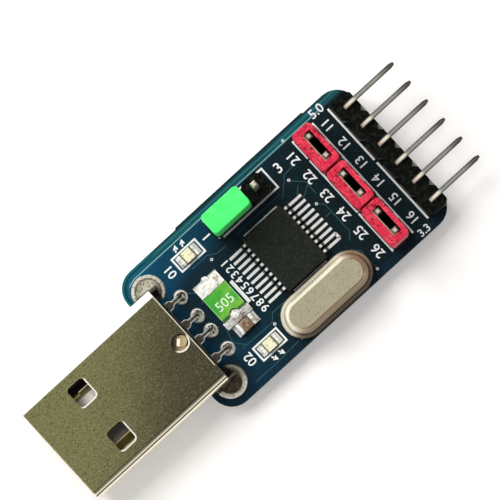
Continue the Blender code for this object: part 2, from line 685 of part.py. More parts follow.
def make_contact(number, offset):
    """A strip on the tongue that narrows behind the shell to a tail bent down into the board."""
    y = PLUG_Y + offset
    level = SEAT_GAP + TONGUE_TOP + CONTACT_PROUD - CONTACT_SHEET / 2
    front = contact_front_x(offset)
    neck = SHELL_REAR_X + CONTACT_BEHIND_SHELL
    wide = CONTACT_WIDTH / 2
    bm = bmesh.new()
    blade = [(front, level - CONTACT_NOSE_DIP), (front + CONTACT_NOSE_LENGTH, level), (neck, level)]
    add_prism(bm, ribbon_outline(blade, CONTACT_SHEET), y - wide, y + wide, "XZ")
    contact = finish("plug_contact_%d" % number, bm, GILT)

    tail = bmesh.new()
    path = [(neck - CONTACT_TAPER, level)]
    path += arc((CONTACT_ROW_X - CONTACT_BEND, level - CONTACT_BEND), CONTACT_BEND, math.pi / 2, 0.0, 4)
    path.append((CONTACT_ROW_X, -BOARD_THICKNESS - CONTACT_TAIL))
    half = CONTACT_TAIL_WIDTH / 2
    add_prism(tail, ribbon_outline(path, CONTACT_SHEET - JOIN_INSET), y - half, y + half, "XZ")
    combine(contact, cutter("contact_tail_%d" % number, tail), "UNION")
    taper = bmesh.new()
    thin = CONTACT_SHEET / 2 - JOIN_INSET / 4
    narrow = half + JOIN_INSET
    outline = [(neck - CONTACT_TAPER, y - wide + JOIN_INSET), (neck, y - wide + JOIN_INSET),
               (neck + CONTACT_TAPER, y - narrow), (neck + CONTACT_TAPER, y + narrow),
               (neck, y + wide - JOIN_INSET), (neck - CONTACT_TAPER, y + wide - JOIN_INSET)]
    add_prism(taper, outline, level - thin, level + thin)
    combine(contact, cutter("contact_taper_%d" % number, taper), "UNION")

    # Solder: a cone below the board, the filled hole and a dome above with a sunken middle
    joint = bmesh.new()
    neck_radius = CONTACT_HOLE_DIAMETER / 2 - HOLE_GAP
    radius = CONTACT_SOLDER_RADIUS
    bottom = -BOARD_THICKNESS - SEAT_GAP
    cone = CONTACT_CONE_HEIGHT
    dome = CONTACT_DOME_HEIGHT
    profile = [(radius * 0.5, bottom - cone), (radius * 0.6, bottom - cone / 2), (radius, bottom),
               (neck_radius, bottom), (neck_radius, SEAT_GAP), (radius, SEAT_GAP),
               (radius * 0.97, SEAT_GAP + dome * 0.5), (radius * 0.86, SEAT_GAP + dome * 0.9),
               (radius * 0.7, SEAT_GAP + dome), (radius * 0.5, SEAT_GAP + dome * 0.75)]
    add_lathe(joint, (CONTACT_ROW_X, y), profile, 20)
    combine(contact, cutter("contact_solder_%d" % number, joint), "UNION")
    return contact


def make_tab_solder(name, place, side):
    """Solder that fills a tab's plated hole, with a raised ring and a dish above, a cone below."""
    bm = bmesh.new()
    neck = TAB_HOLE_DIAMETER / 2 - HOLE_GAP
    ring = TAB_RING_DIAMETER / 2
    rise = TAB_RING_HEIGHT
    bottom = -BOARD_THICKNESS - SEAT_GAP
    profile = [(TAB_CONE_RADIUS, bottom - TAB_CONE_HEIGHT), (TAB_CONE_RADIUS * 1.2, bottom - TAB_CONE_HEIGHT / 2),
               (ring, bottom), (neck, bottom), (neck, SEAT_GAP), (ring, SEAT_GAP),
               (ring * 0.985, SEAT_GAP + rise / 2), (ring * 0.92, SEAT_GAP + rise),
               (ring * 0.82, SEAT_GAP + rise), (ring * 0.7, SEAT_GAP + rise / 2),
               (ring * 0.5, SEAT_GAP - TAB_DISH_DEPTH / 2), (ring * 0.25, SEAT_GAP - TAB_DISH_DEPTH)]
    add_lathe(bm, place, profile, 32)
    joint = finish(name, bm, SOLDER)

    # Room for the tab, and for the plug's side that stands over the ring's inner part
    slot = bmesh.new()
    long_half = TAB_WIDTH / 2 + HOLE_GAP
    spread = PLUG_Y + side * (TAB_WALL_Y + TAB_SPREAD)
    thick_half = SHELL_SHEET / 2 + HOLE_GAP
    add_box(slot, (place[0] - long_half, spread - thick_half, PIN_TAIL_END - CUT_PAST),
            (place[0] + long_half, spread + thick_half, TAB_LEAN_TOP))
    combine(joint, cutter(name + "_slot", slot), "DIFFERENCE")
    body = bmesh.new()
    wall = PLUG_Y + side * (SHELL_WIDTH / 2 + 2 * SIDE_GAP)
    add_box(body, (place[0] - TAB_RING_DIAMETER, min(PLUG_Y, wall), SEAT_GAP / 2),
            (SHELL_REAR_X + 2 * SIDE_GAP, max(PLUG_Y, wall), TAB_LEAN_TOP))
    combine(joint, cutter(name + "_body_room", body), "DIFFERENCE")
    return joint


# Headers


def header_cell_outline(count, centre_x, centre_y, along):
    """Outline of a moulded strip: one octagon for each pin, joined in a row."""
    half = PIN_PITCH / 2
    wide = HEADER_WIDTH / 2
    chamfer = HEADER_CELL_CHAMFER
    near, far = [], []
    for index in range(count):
        middle = (index - (count - 1) / 2) * PIN_PITCH
        near += [(middle - half, -wide + chamfer), (middle - half + chamfer, -wide),
                 (middle + half - chamfer, -wide)]
        far += [(middle - half + chamfer, wide), (middle + half - chamfer, wide),
                (middle + half, wide - chamfer)]
    end = count * half
    near.append((end, -wide + chamfer))
    far.insert(0, (-end, wide - chamfer))
    outline = near + far[::-1]
    if along == "Y":
        return [(centre_x - v, centre_y + u) for u, v in outline]
    return [(centre_x + u, centre_y + v) for u, v in outline]


def make_header_block(name, places, along, pin_side=PIN_SIDE):
    """The strip's cells, its pin holes and the shallow standoff channel under it."""
    centre_x = sum(place[0] for place in places) / len(places)
    centre_y = sum(place[1] for place in places) / len(places)
    bm = bmesh.new()
    outline = header_cell_outline(len(places), centre_x, centre_y, along)
    add_prism(bm, outline, HEADER_SEAT, HEADER_TOP)
    block = finish(name, bm, BLACK_PLASTIC)
    room = bmesh.new()
    half = pin_side / 2 + HOLE_GAP
    low = HEADER_SEAT - CUT_PAST
    for x, y in places:
        add_box(room, (x - half, y - half, low), (x + half, y + half, HEADER_TOP + CUT_PAST))
    under = bmesh.new()
    channel = HEADER_WIDTH / 2 - HEADER_RAIL
    reach = len(places) * PIN_PITCH / 2 + CUT_PAST
    half_x, half_y = (channel, reach) if along == "Y" else (reach, channel)
    add_box(under, (centre_x - half_x, centre_y - half_y, low),
            (centre_x + half_x, centre_y + half_y, HEADER_SEAT + HEADER_FOOT))
    combine(block, cutter(name + "_pin_room", room), "DIFFERENCE")
    combine(block, cutter(name + "_foot_channel", under), "DIFFERENCE")
    return block


def add_pin_solder(pin, name, place, inner=PIN_SIDE * SOLDER_PIN_SHARE, radius=SOLDER_RADIUS):
    cone = bmesh.new()
    add_lathe(cone, place, solder_cone_profile(radius, SOLDER_HEIGHT, inner), 16)
    combine(pin, cutter(name + "_solder", cone), "UNION")


def make_straight_pin(name, place):
    bm = bmesh.new()
    x, y = place
    add_square_bar(bm, [(x, y, PIN_TAIL_END), (x, y, STRAIGHT_PIN_RISE)], PIN_SIDE, PIN_TIP_LENGTH,
                   PIN_TIP_SHARE)
    pin = finish(name, bm, TIN)
    add_pin_solder(pin, name, place)
    return pin


def make_bent_pin(name, place):
    x, y = place
    bend = EDGE_PIN_BEND
    turn = arc((x + bend, EDGE_PIN_AXIS_Z - bend), bend, math.pi, math.pi / 2, 5)
    path = [(x, y, PIN_TAIL_END)] + [(u, y, v) for u, v in turn] + [(EDGE_TIP_X, y, EDGE_PIN_AXIS_Z)]
    bm = bmesh.new()
    add_square_bar(bm, path, EDGE_PIN_SIDE, PIN_TIP_LENGTH, PIN_TIP_SHARE)
    pin = finish(name, bm, TIN)
    add_pin_solder(pin, name, place, EDGE_PIN_SIDE * SOLDER_PIN_SHARE)
    return pin


# Jumper caps


def turned(size, along):
    """Length and width as sizes in X and Y, for a cap along either axis."""
    return (size[1], size[0]) if along == "Y" else size


def cut_cap(cap, name, centre, size, low, high):
    room = bmesh.new()
    add_box(room, (centre[0] - size[0] / 2, centre[1] - size[1] / 2, low),
            (centre[0] + size[0] / 2, centre[1] + size[1] / 2, high))
    combine(cap, cutter(name, room), "DIFFERENCE")


def make_cap(name, centre, along, height, corner, material, roof=0.0, aside=0.0):
    """A moulded cap over two pins: a chamber under a narrower opening, or closed by a roof."""
    length, width = turned((CAP_LENGTH, CAP_WIDTH), along)
    low = HEADER_TOP + CAP_LIFT
    high = low + height
    bm = bmesh.new()
    add_prism(bm, rounded_rectangle(length, width, corner, (centre[0] - aside, centre[1]), 3), low, high)
    bevel_edges_at(bm, high, CAP_EDGE, 2)
    cap = finish(name, bm, material)
    ceiling = high - (roof or CAP_LIP)
    cut_cap(cap, name + "_chamber", centre, turned((CAP_SLOT_LENGTH, CAP_SLOT_WIDTH), along),
            low - CUT_PAST, ceiling)
    if not roof:
        cut_cap(cap, name + "_opening", centre, turned((CAP_OPENING_LENGTH, CAP_OPENING_WIDTH), along),
                ceiling - CUT_PAST, high + CUT_PAST)
    return cap


def make_clip(name, centre, along, chamber_height):
    """Folded spring that grips both pins: a flat back with a hook round each pin's far side."""
    back = PIN_SIDE / 2 + CLIP_GAP + CLIP_SHEET / 2
    reach = PIN_PITCH / 2 + PIN_SIDE / 2 + CLIP_GAP + CLIP_SHEET / 2
    path = [(-reach, CLIP_HOOK), (-reach, -back), (reach, -back), (reach, CLIP_HOOK)]
    outline = ribbon_outline(path, CLIP_SHEET)
    if along == "Y":
        outline = [(centre[0] + v, centre[1] + u) for u, v in outline]
    else:
        outline = [(centre[0] + u, centre[1] + v) for u, v in outline]
    bottom = HEADER_TOP + CAP_LIFT
    bm = bmesh.new()
    add_prism(bm, outline, bottom + CLIP_FOOT, bottom + chamber_height - CLIP_HEADROOM)
    return finish(name, bm, TIN)


# Chip


def make_chip():
    """Moulded body with draft on its sides, a pin-one dot and two rows of gull-wing leads."""
    low = CHIP_STANDOFF
    high = low + CHIP_BODY_HEIGHT
    parting = (low + high) / 2
    centre = (CHIP_X, CHIP_Y)
    rings = []
    for height, draft in ((low, CHIP_DRAFT), (parting, 0.0), (high, CHIP_DRAFT)):
        outline = rounded_rectangle(CHIP_BODY_WIDTH - 2 * draft, CHIP_BODY_LENGTH - 2 * draft,
                                    CHIP_CORNER, centre, 1)
        rings.append([(u, v, height) for u, v in outline])
    bm = bmesh.new()
    add_loft(bm, rings)
    chip = finish("interface_chip", bm, CHIP_BLACK)

    dot = bmesh.new()
    dot_place = (CHIP_X - CHIP_BODY_WIDTH / 2 + CHIP_DOT_INSET, CHIP_Y + CHIP_BODY_LENGTH / 2 - CHIP_DOT_INSET)
    add_cylinder(dot, dot_place, CHIP_DOT_DIAMETER / 2, high - CHIP_DOT_DEPTH, high + CUT_PAST, 16)
    combine(chip, cutter("chip_dot", dot), "DIFFERENCE")

    leads = bmesh.new()
    foot_low = SEAT_GAP + LEAD_SHEET / 2
    tip = LEAD_SPAN / 2
    root = CHIP_BODY_WIDTH / 2 - LEAD_ROOT
    shoulder = CHIP_BODY_WIDTH / 2 + LEAD_SHOULDER
    heel = tip - LEAD_FOOT
    for side in (1, -1):
        path = [(root, parting), (shoulder, parting), (heel, foot_low), (tip, foot_low)]
        path = [(CHIP_X + side * u, v) for u, v in path]
        for index in range(LEADS_PER_SIDE):
            y = CHIP_Y + (index - (LEADS_PER_SIDE - 1) / 2) * LEAD_PITCH
            add_prism(leads, ribbon_outline(path, LEAD_SHEET), y - LEAD_WIDTH / 2, y + LEAD_WIDTH / 2, "XZ")
    combine(chip, cutter("chip_leads", leads), "UNION")
    return chip


# Crystal


def make_crystal():
    """Low oval can with a flange, on a base plate with two wire leads."""
    centre = (CRYSTAL_X, CRYSTAL_Y)
    base_top = CRYSTAL_BASE_TOP
    bm = bmesh.new()
    add_prism(bm, stadium(FLANGE_LENGTH - 2 * CRYSTAL_BASE_INSET, FLANGE_WIDTH - 2 * CRYSTAL_BASE_INSET, centre),
              SEAT_GAP, base_top)
    base = finish("crystal_base", bm, CAN_STEEL)
    room = bmesh.new()
    for place in CRYSTAL_LEAD_PLACES:
        add_cylinder(room, place, CRYSTAL_LEAD_DIAMETER / 2 + HOLE_GAP, -CUT_PAST, base_top + CUT_PAST, 12)
    combine(base, cutter("crystal_base_holes", room), "DIFFERENCE")

    # The can: a drawn oval with a rounded shoulder, standing on its flange
    flange_low = base_top + SEAT_GAP
    flange_high = flange_low + FLANGE_SHEET
    top = SEAT_GAP + CAN_HEIGHT
    bm = bmesh.new()
    add_prism(bm, stadium(FLANGE_LENGTH, FLANGE_WIDTH, centre), flange_low, flange_high)
    can = finish("crystal_can", bm, CAN_STEEL)
    drawn = bmesh.new()
    add_prism(drawn, stadium(CAN_LENGTH, CAN_WIDTH, centre), flange_low + FLANGE_SHEET / 2, top)
    bevel_edges_at(drawn, top, CAN_ROUNDING, 5)
    combine(can, cutter("crystal_drawn_body", drawn), "UNION")

    for number, place in enumerate(CRYSTAL_LEAD_PLACES, 1):
        name = "crystal_lead_%d" % number
        bm = bmesh.new()
        add_cylinder(bm, place, CRYSTAL_LEAD_DIAMETER / 2, PIN_TAIL_END, base_top, 12)
        lead = finish(name, bm, TIN)
        add_pin_solder(lead, name, place, CRYSTAL_LEAD_DIAMETER * SOLDER_PIN_SHARE,
                       CRYSTAL_SOLDER_RADIUS)


# Small surface parts


def make_fuse():
    """Flat green body with a notch at each end, both filled; one end plated over, one low in solder."""
    low, high = SEAT_GAP, FUSE_HEIGHT
    half = FUSE_LENGTH / 2
    ends = {side: FUSE_Y + side * half for side in (1, -1)}
    bm = bmesh.new()
    add_box(bm, (FUSE_X - FUSE_WIDTH / 2, ends[-1], low), (FUSE_X + FUSE_WIDTH / 2, ends[1], high))
    body = finish("fuse_body", bm, FUSE_GREEN)
    notches = bmesh.new()
    for end in ends.values():
        add_cylinder(notches, (FUSE_X, end), FUSE_NOTCH_RADIUS, low - CUT_PAST, high + CUT_PAST, 24)
    combine(body, cutter("fuse_notches", notches), "DIFFERENCE")

    # Plated lip over the upper end, with its end face and a short solder fillet
    end = ends[1]
    top = high + SIDE_GAP
    skin = top + FUSE_PLATING
    profile = [(end + SIDE_GAP, SEAT_GAP), (end + FUSE_UPPER_FILLET, SEAT_GAP),
               (end + FUSE_UPPER_FILLET * 0.75, SEAT_GAP + FUSE_HEIGHT * 0.4),
               (end + FUSE_PLATING + SIDE_GAP, skin - FUSE_PLATING / 2),
               (end + FUSE_PLATING / 2 + SIDE_GAP, skin),
               (end - FUSE_LIP, skin), (end - FUSE_LIP, top), (end + SIDE_GAP, top)]
    bm = bmesh.new()
    add_prism(bm, profile, FUSE_X - FUSE_WIDTH / 2, FUSE_X + FUSE_WIDTH / 2, "YZ")
    upper = finish("fuse_terminal_upper", bm, SOLDER)
    moon = bmesh.new()
    add_cylinder(moon, (FUSE_X, end), FUSE_NOTCH_RADIUS, SEAT_GAP + FUSE_HEIGHT * 0.35, high + CUT_PAST, 24)
    combine(upper, cutter("fuse_lip_notch", moon), "DIFFERENCE")
    wet = bmesh.new()
    add_cylinder(wet, (FUSE_X, end + SIDE_GAP), FUSE_NOTCH_RADIUS - FUSE_PLATING, SEAT_GAP + JOIN_INSET,
                 high - FUSE_NOTCH_FILL_DROP, 24)
    combine(upper, cutter("fuse_upper_notch_fill", wet), "UNION")

    # Solder at the lower end, below the body's top, which also fills the notch
    end = ends[-1]
    level = SEAT_GAP + FUSE_LOWER_FILLET_HEIGHT
    outer = end - FUSE_LOWER_FILLET
    profile = [(end - SIDE_GAP, SEAT_GAP), (end - SIDE_GAP, level + FUSE_PLATING),
               (end - FUSE_LOWER_FILLET * 0.35, level), (outer + FUSE_LOWER_FILLET * 0.2, level * 0.4),
               (outer, SEAT_GAP)]
    bm = bmesh.new()
    add_prism(bm, profile, FUSE_X - FUSE_PAD_WIDTH / 2, FUSE_X + FUSE_PAD_WIDTH / 2, "YZ")
    lower = finish("fuse_terminal_lower", bm, SOLDER)
    fill = bmesh.new()
    add_cylinder(fill, (FUSE_X, end - SIDE_GAP), FUSE_NOTCH_RADIUS - FUSE_PLATING, SEAT_GAP + JOIN_INSET,
                 level + FUSE_PLATING - JOIN_INSET, 24)
    combine(lower, cutter("fuse_notch_fill", fill), "UNION")


def make_capacitor():
    """Tan ceramic block along X between two tinned end caps with solder fillets."""
    half = CAPACITOR_LENGTH / 2
    wide = CAPACITOR_WIDTH / 2
    high = SEAT_GAP + CAPACITOR_HEIGHT
    middle = half - CAPACITOR_BAND
    bm = bmesh.new()
    add_box(bm, (CAPACITOR_X - middle, CAPACITOR_Y - wide, SEAT_GAP),
            (CAPACITOR_X + middle, CAPACITOR_Y + wide, high))
    finish("capacitor_body", bm, CERAMIC_TAN)
    skin = CAPACITOR_PLATING
    for name, side in (("capacitor_terminal_rear", -1), ("capacitor_terminal_front", 1)):
        inner = CAPACITOR_X + side * (middle + SIDE_GAP)
        outer = CAPACITOR_X + side * half
        profile = [(inner, SEAT_GAP), (outer + side * CAPACITOR_FILLET, SEAT_GAP),
                   (outer + side * CAPACITOR_FILLET * 0.4, SEAT_GAP + CAPACITOR_HEIGHT * 0.35),
                   (outer + side * 2 * skin, SEAT_GAP + CAPACITOR_HEIGHT * 0.8),
                   (outer - side * 2 * skin, high + skin), (inner, high + skin)]
        bm = bmesh.new()
        add_prism(bm, profile, CAPACITOR_Y - wide - skin, CAPACITOR_Y + wide + skin, "XZ")
        finish(name, bm, SOLDER)


def make_lamp(name, centre_y):
    """Indicator lamp along X: a flat base with a drafted lens and two tinned ends."""
    half = LAMP_LENGTH / 2
    wide = LAMP_WIDTH / 2
    base_half = half - LAMP_TERMINAL
    base_high = SEAT_GAP + LAMP_BASE_HEIGHT
    lens_high = base_high + LAMP_LENS_HEIGHT
    lens_half = LAMP_LENS_LENGTH / 2
    draft = LAMP_LENS_DRAFT
    bm = bmesh.new()
    profile = [(LAMP_X - base_half, SEAT_GAP), (LAMP_X + base_half, SEAT_GAP), (LAMP_X + base_half, base_high),
               (LAMP_X + lens_half, base_high), (LAMP_X + lens_half - draft, lens_high),
               (LAMP_X - lens_half + draft, lens_high), (LAMP_X - lens_half, base_high),
               (LAMP_X - base_half, base_high)]
    add_prism(bm, profile, centre_y - wide, centre_y + wide, "XZ")
    finish(name + "_body", bm, LAMP_LENS)
    for end_name, side in (("_terminal_rear", -1), ("_terminal_front", 1)):
        inner = LAMP_X + side * (base_half + SIDE_GAP)
        outer = LAMP_X + side * half
        outline = [(inner, SEAT_GAP), (outer + side * LAMP_FILLET, SEAT_GAP),
                   (outer + side * LAMP_FILLET * 0.35, SEAT_GAP + LAMP_BASE_HEIGHT * 0.55),
                   (outer, base_high + JOIN_INSET), (inner, base_high + JOIN_INSET)]
        bm = bmesh.new()
        add_prism(bm, outline, centre_y - wide, centre_y + wide, "XZ")
        finish(name + end_name, bm, SOLDER)


# Assembly

make_board()
make_shell()
make_insulator()
for contact_number, contact_offset in enumerate(CONTACT_OFFSETS, 1):
    make_contact(contact_number, contact_offset)
make_tab_solder("shield_solder_upper", TAB_PLACES[0], 1)
make_tab_solder("shield_solder_lower", TAB_PLACES[1], -1)

make_header_block("edge_header_block", EDGE_PLACES, "Y", EDGE_PIN_SIDE)
for pin_number, pin_place in enumerate(EDGE_PLACES, 1):
    make_bent_pin("edge_pin_%d" % pin_number, pin_place)
make_header_block("jumper_header_block", JUMPER_PLACES, "Y")
for pin_number, pin_place in enumerate(JUMPER_PLACES, 1):
    make_straight_pin("jumper_pin_%d" % pin_number, pin_place)
make_header_block("mode_header_block", MODE_PLACES, "X")
for pin_number, pin_place in enumerate(MODE_PLACES, 1):
    make_straight_pin("mode_pin_%d" % pin_number, pin_place)

for cap_number in range(1, JUMPER_PIN_COUNT // PINS_PER_CAP + 1):
    first = JUMPER_PLACES[(cap_number - 1) * PINS_PER_CAP]
    cap_centre = (first[0], first[1] - PIN_PITCH / 2)
    make_cap("red_jumper_cap_%d" % cap_number, cap_centre, "Y", CAP_HEIGHT, CAP_CORNER, RED_PLASTIC,
             aside=RED_CAP_SHIFT)
    make_clip("red_jumper_clip_%d" % cap_number, cap_centre, "Y", CAP_HEIGHT - CAP_LIP)
GREEN_CENTRE = (MODE_CAP_X, MODE_ROW_Y)
make_cap("green_jumper_cap", GREEN_CENTRE, "X", GREEN_CAP_HEIGHT, GREEN_CAP_CORNER, GREEN_PLASTIC,
         GREEN_CAP_ROOF)
make_clip("green_jumper_clip", GREEN_CENTRE, "X", GREEN_CAP_HEIGHT - GREEN_CAP_ROOF)

make_chip()
make_crystal()
make_fuse()
make_capacitor()
make_lamp("lamp_upper", UPPER_LAMP_Y)
make_lamp("lamp_lower", LOWER_LAMP_Y)
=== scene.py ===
"""USB to serial adapter module: finishes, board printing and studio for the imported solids.

Sizes in millimetres are measured from the middle of the board's top face, with +X towards the
bent pins and +Y towards the green cap.
"""
import math

import bmesh
import bpy
from bpy.props import FloatProperty, FloatVectorProperty, PointerProperty
from mathutils import Euler, Matrix, Vector


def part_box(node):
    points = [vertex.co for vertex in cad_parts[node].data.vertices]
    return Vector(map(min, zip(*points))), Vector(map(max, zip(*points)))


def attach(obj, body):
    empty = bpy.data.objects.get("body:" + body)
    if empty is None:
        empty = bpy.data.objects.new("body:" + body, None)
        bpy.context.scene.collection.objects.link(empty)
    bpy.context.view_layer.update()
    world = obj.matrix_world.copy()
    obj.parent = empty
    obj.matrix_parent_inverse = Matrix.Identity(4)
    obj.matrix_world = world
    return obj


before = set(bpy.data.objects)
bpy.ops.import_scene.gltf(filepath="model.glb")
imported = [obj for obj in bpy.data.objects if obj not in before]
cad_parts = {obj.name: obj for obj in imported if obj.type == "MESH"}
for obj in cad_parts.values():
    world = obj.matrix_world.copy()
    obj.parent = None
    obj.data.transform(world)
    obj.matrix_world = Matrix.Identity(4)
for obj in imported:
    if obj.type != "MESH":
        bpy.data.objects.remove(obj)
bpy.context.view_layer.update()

bl_info = {
    "name": "USB to Serial Adapter Module",
    "version": (1, 0, 0),
    "blender": (4, 5, 0),
    "location": "View3D > Sidebar > Adapter",
    "description": "Finishes a small adapter board: solder mask, printing, metals, plastics and studio",
    "category": "Object",
}

MM = 0.001

# Sizes of the solids that their boxes don't give
BOARD_WIDTH = 17.6
BOARD_CORNER = 2.3
SHELL_LENGTH = 18.0
SHELL_WIDTH = 12.0
WINDOW_MIDDLE = 5.925
WINDOW_ASIDE = 2.93
WINDOW_OUTLINE = (1.025, 1.225, 0.4)  # half length, half width and corner radius
LATCH_HOLE_INSET = 1.45
LATCH_HOLE_OUTLINE = (0.875, 0.875, 0.875)
CONTACT_JOINT = 1.65  # from the shell's rear edge
TAB_RING = 1.3
SOLDER_CONE = 0.85
CHIP_BODY_HALF = 2.65
CHIP_SLOPE = (2.9, 3.3)
CHIP_FOOT = 4.11
LEAD_PITCH = 0.65
CELL = 2.54

BOARD_LOW, BOARD_HIGH = [Vector(corner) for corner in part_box("circuit_board")]
BOARD_LENGTH = (BOARD_HIGH.x - BOARD_LOW.x) / MM
BOARD_THICKNESS = (BOARD_HIGH.z - BOARD_LOW.z) / MM
ORIGIN = Vector(((BOARD_LOW.x + BOARD_HIGH.x) / 2, BOARD_LOW.y + BOARD_WIDTH / 2 * MM, BOARD_HIGH.z))

# Heights of what lies on the board
PAD_RISE = 0.02
TRACK_RISE = 0.02
EDGE_TRACK_RISE = 0.024

# The studio, in metres
FLOOR_REACH = 3.0
LAMP_SIZE = 0.16
LAMP_TARGET = (0.0, 0.0, 0.004)
SENSOR_WIDTH = 36.0  # millimetres


def at(x, y, z=0.0):
    """A place on the board, in millimetres from the middle of its top, as a row-frame point."""
    return ORIGIN + Vector((x, y, z)) * MM


def reach(node):
    """Lowest and highest corner of a CAD node's box, in board millimetres."""
    return [(Vector(corner) - ORIGIN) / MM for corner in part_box(node)]


def middle(node):
    """Middle of a CAD node's box, in board millimetres."""
    low, high = reach(node)
    return (low + high) / 2


# Node trees


class Out:
    """An output socket whose sums, differences, products and quotients add Math nodes."""

    def __init__(self, graph, socket):
        self.graph = graph
        self.socket = socket

    def __add__(self, other):
        return self.graph.math("ADD", self, other)

    __radd__ = __add__

    def __sub__(self, other):
        return self.graph.math("SUBTRACT", self, other)

    def __rsub__(self, other):
        return self.graph.math("SUBTRACT", other, self)

    def __mul__(self, other):
        return self.graph.math("MULTIPLY", self, other)

    __rmul__ = __mul__

    def __truediv__(self, other):
        return self.graph.math("DIVIDE", self, other)

    def __abs__(self):
        return self.graph.math("ABSOLUTE", self, 0.0)

    def larger(self, other):
        return self.graph.math("MAXIMUM", self, other)

    def smaller(self, other):
        return self.graph.math("MINIMUM", self, other)


class Graph:
    """A node tree that is filled by naming node types, settings and sockets."""

    def __init__(self, tree):
        self.tree = tree

    def node(self, kind, settings=None, sockets=None, out=0):
        """A new node with its settings set and its sockets fed; gives one of its outputs."""
        made = self.tree.nodes.new(kind)
        for name, value in (settings or {}).items():
            setattr(made, name, value)
        for key, value in (sockets or {}).items():
            self.feed(made.inputs[key], value)
        return Out(self, made.outputs[out])

    def feed(self, socket, value):
        """Link an output to a socket, or give the socket a plain value."""
        if isinstance(value, Out):
            self.tree.links.new(value.socket, socket)
        else:
            socket.default_value = value

    def math(self, operation, first, second):
        return self.node("ShaderNodeMath", {"operation": operation}, {0: first, 1: second})

    def split(self, vector):
        """X, Y and Z of a vector."""
        first = self.node("ShaderNodeSeparateXYZ", None, {0: vector})
        return [Out(self, socket) for socket in first.socket.node.outputs]

    def length(self, x, y):
        """Distance from x = y = 0."""
        flat = self.node("ShaderNodeCombineXYZ", None, {0: x, 1: y, 2: 0.0})
        return self.node("ShaderNodeVectorMath", {"operation": "LENGTH"}, {0: flat}, "Value")

    def fade(self, value, low, high, top=1.0):
        """0 below one value and `top` above the other, smooth between; downwards if low > high."""
        return self.node("ShaderNodeMapRange", {"interpolation_type": "SMOOTHSTEP"},
                         {"Value": value, "From Min": low, "From Max": high, "To Max": top})

    def line(self, value, outer, inner, top=1.0):
        """`top` where the value is within `inner` of zero, and 0 past `outer`."""
        return self.fade(abs(value), outer, inner, top)

    def tint(self, amount, first, second):
        """One colour turning into another; 6, 7 and 2 are the Mix node's colour sockets."""
        first = first if isinstance(first, Out) else (*first, 1.0)
        second = second if isinstance(second, Out) else (*second, 1.0)
        return self.node("ShaderNodeMix", {"data_type": "RGBA"}, {0: amount, 6: first, 7: second}, 2)

    def layers(self, color, **coats):
        """A colour with named coats over it, each given as how much of it shows and its colour."""
        for name, (amount, coat) in coats.items():
            color = self.tint(amount, color, coat)
            color.socket.node.label = name
        return color

    def rays(self):
        """Whether a ray comes from the camera, off a glossy surface or through glass."""
        kinds = ("Is Camera Ray", "Is Glossy Ray", "Is Transmission Ray")
        return [self.node("ShaderNodeLightPath", out=kind) for kind in kinds]


class Finish(Graph):
    """A material in board millimetres, with its Principled shader and its common patterns."""

    def __init__(self, name, roughness=0.4, metallic=0.0, specular=0.5):
        self.material = bpy.data.materials.new(name)
        self.material.use_nodes = True
        super().__init__(self.material.node_tree)
        self.shader = self.tree.nodes["Principled BSDF"]
        self.set(Roughness=roughness, Metallic=metallic)
        self.shader.inputs["Specular IOR Level"].default_value = specular
        raw = self.node("ShaderNodeTexCoord", out="Object")
        moved = self.node("ShaderNodeVectorMath", {"operation": "SUBTRACT"}, {0: raw, 1: ORIGIN})
        self.place = self.node("ShaderNodeVectorMath", {"operation": "SCALE"}, {0: moved, "Scale": 1 / MM})
        self.x, self.y, self.z = self.split(self.place)

    def set(self, **sockets):
        """Feed the shader's sockets, named with _ for each space."""
        for name, value in sockets.items():
            socket = self.shader.inputs[name.replace("_", " ")]
            if not isinstance(value, Out) and name.endswith("Color"):
                value = (*value, 1.0)
            self.feed(socket, value)
        return self

    def noise(self, scale, detail=2.0, roughness=0.5, stretch=None):
        """Noise with about `scale` grains a millimetre, from 0 to 1."""
        place = self.place
        if stretch:
            place = self.node("ShaderNodeVectorMath", {"operation": "MULTIPLY"}, {0: place, 1: stretch})
        return self.node("ShaderNodeTexNoise", None,
                         {"Vector": place, "Scale": scale, "Detail": detail, "Roughness": roughness})

    def past_outline(self, x, y, half_x, half_y, radius):
        """Distance outside a rounded rectangle round x = y = 0; down to -radius inside it."""
        past_x = (abs(x) - (half_x - radius)).larger(0.0)
        past_y = (abs(y) - (half_y - radius)).larger(0.0)
        return self.length(past_x, past_y) - radius

    def facing_up(self):
        """How far the surface faces up, from -1 to 1."""
        return self.split(self.node("ShaderNodeNewGeometry", out="Normal"))[2]

    def finish(self, color, roughness, relief, depth, metallic=None):
        """Feed the shader with what changes over the surface, its relief `depth` mm deep."""
        normal = self.node("ShaderNodeBump", None,
                           {"Height": relief, "Distance": depth * MM, "Strength": 1.0})
        self.set(Base_Color=color, Roughness=roughness, Normal=normal)
        if metallic is not None:
            self.set(Metallic=metallic)
        return self.material


# Finishes. The keywords of `layers` name the coats; colours are in linear light.


def plug_lines():
    """Lowest and highest corner of the plug's shell, its middle line's y and its rear edge's x."""
    low, high = reach("plug_shell")
    return low, high, (low.y + high.y) / 2, low.x + SHELL_LENGTH


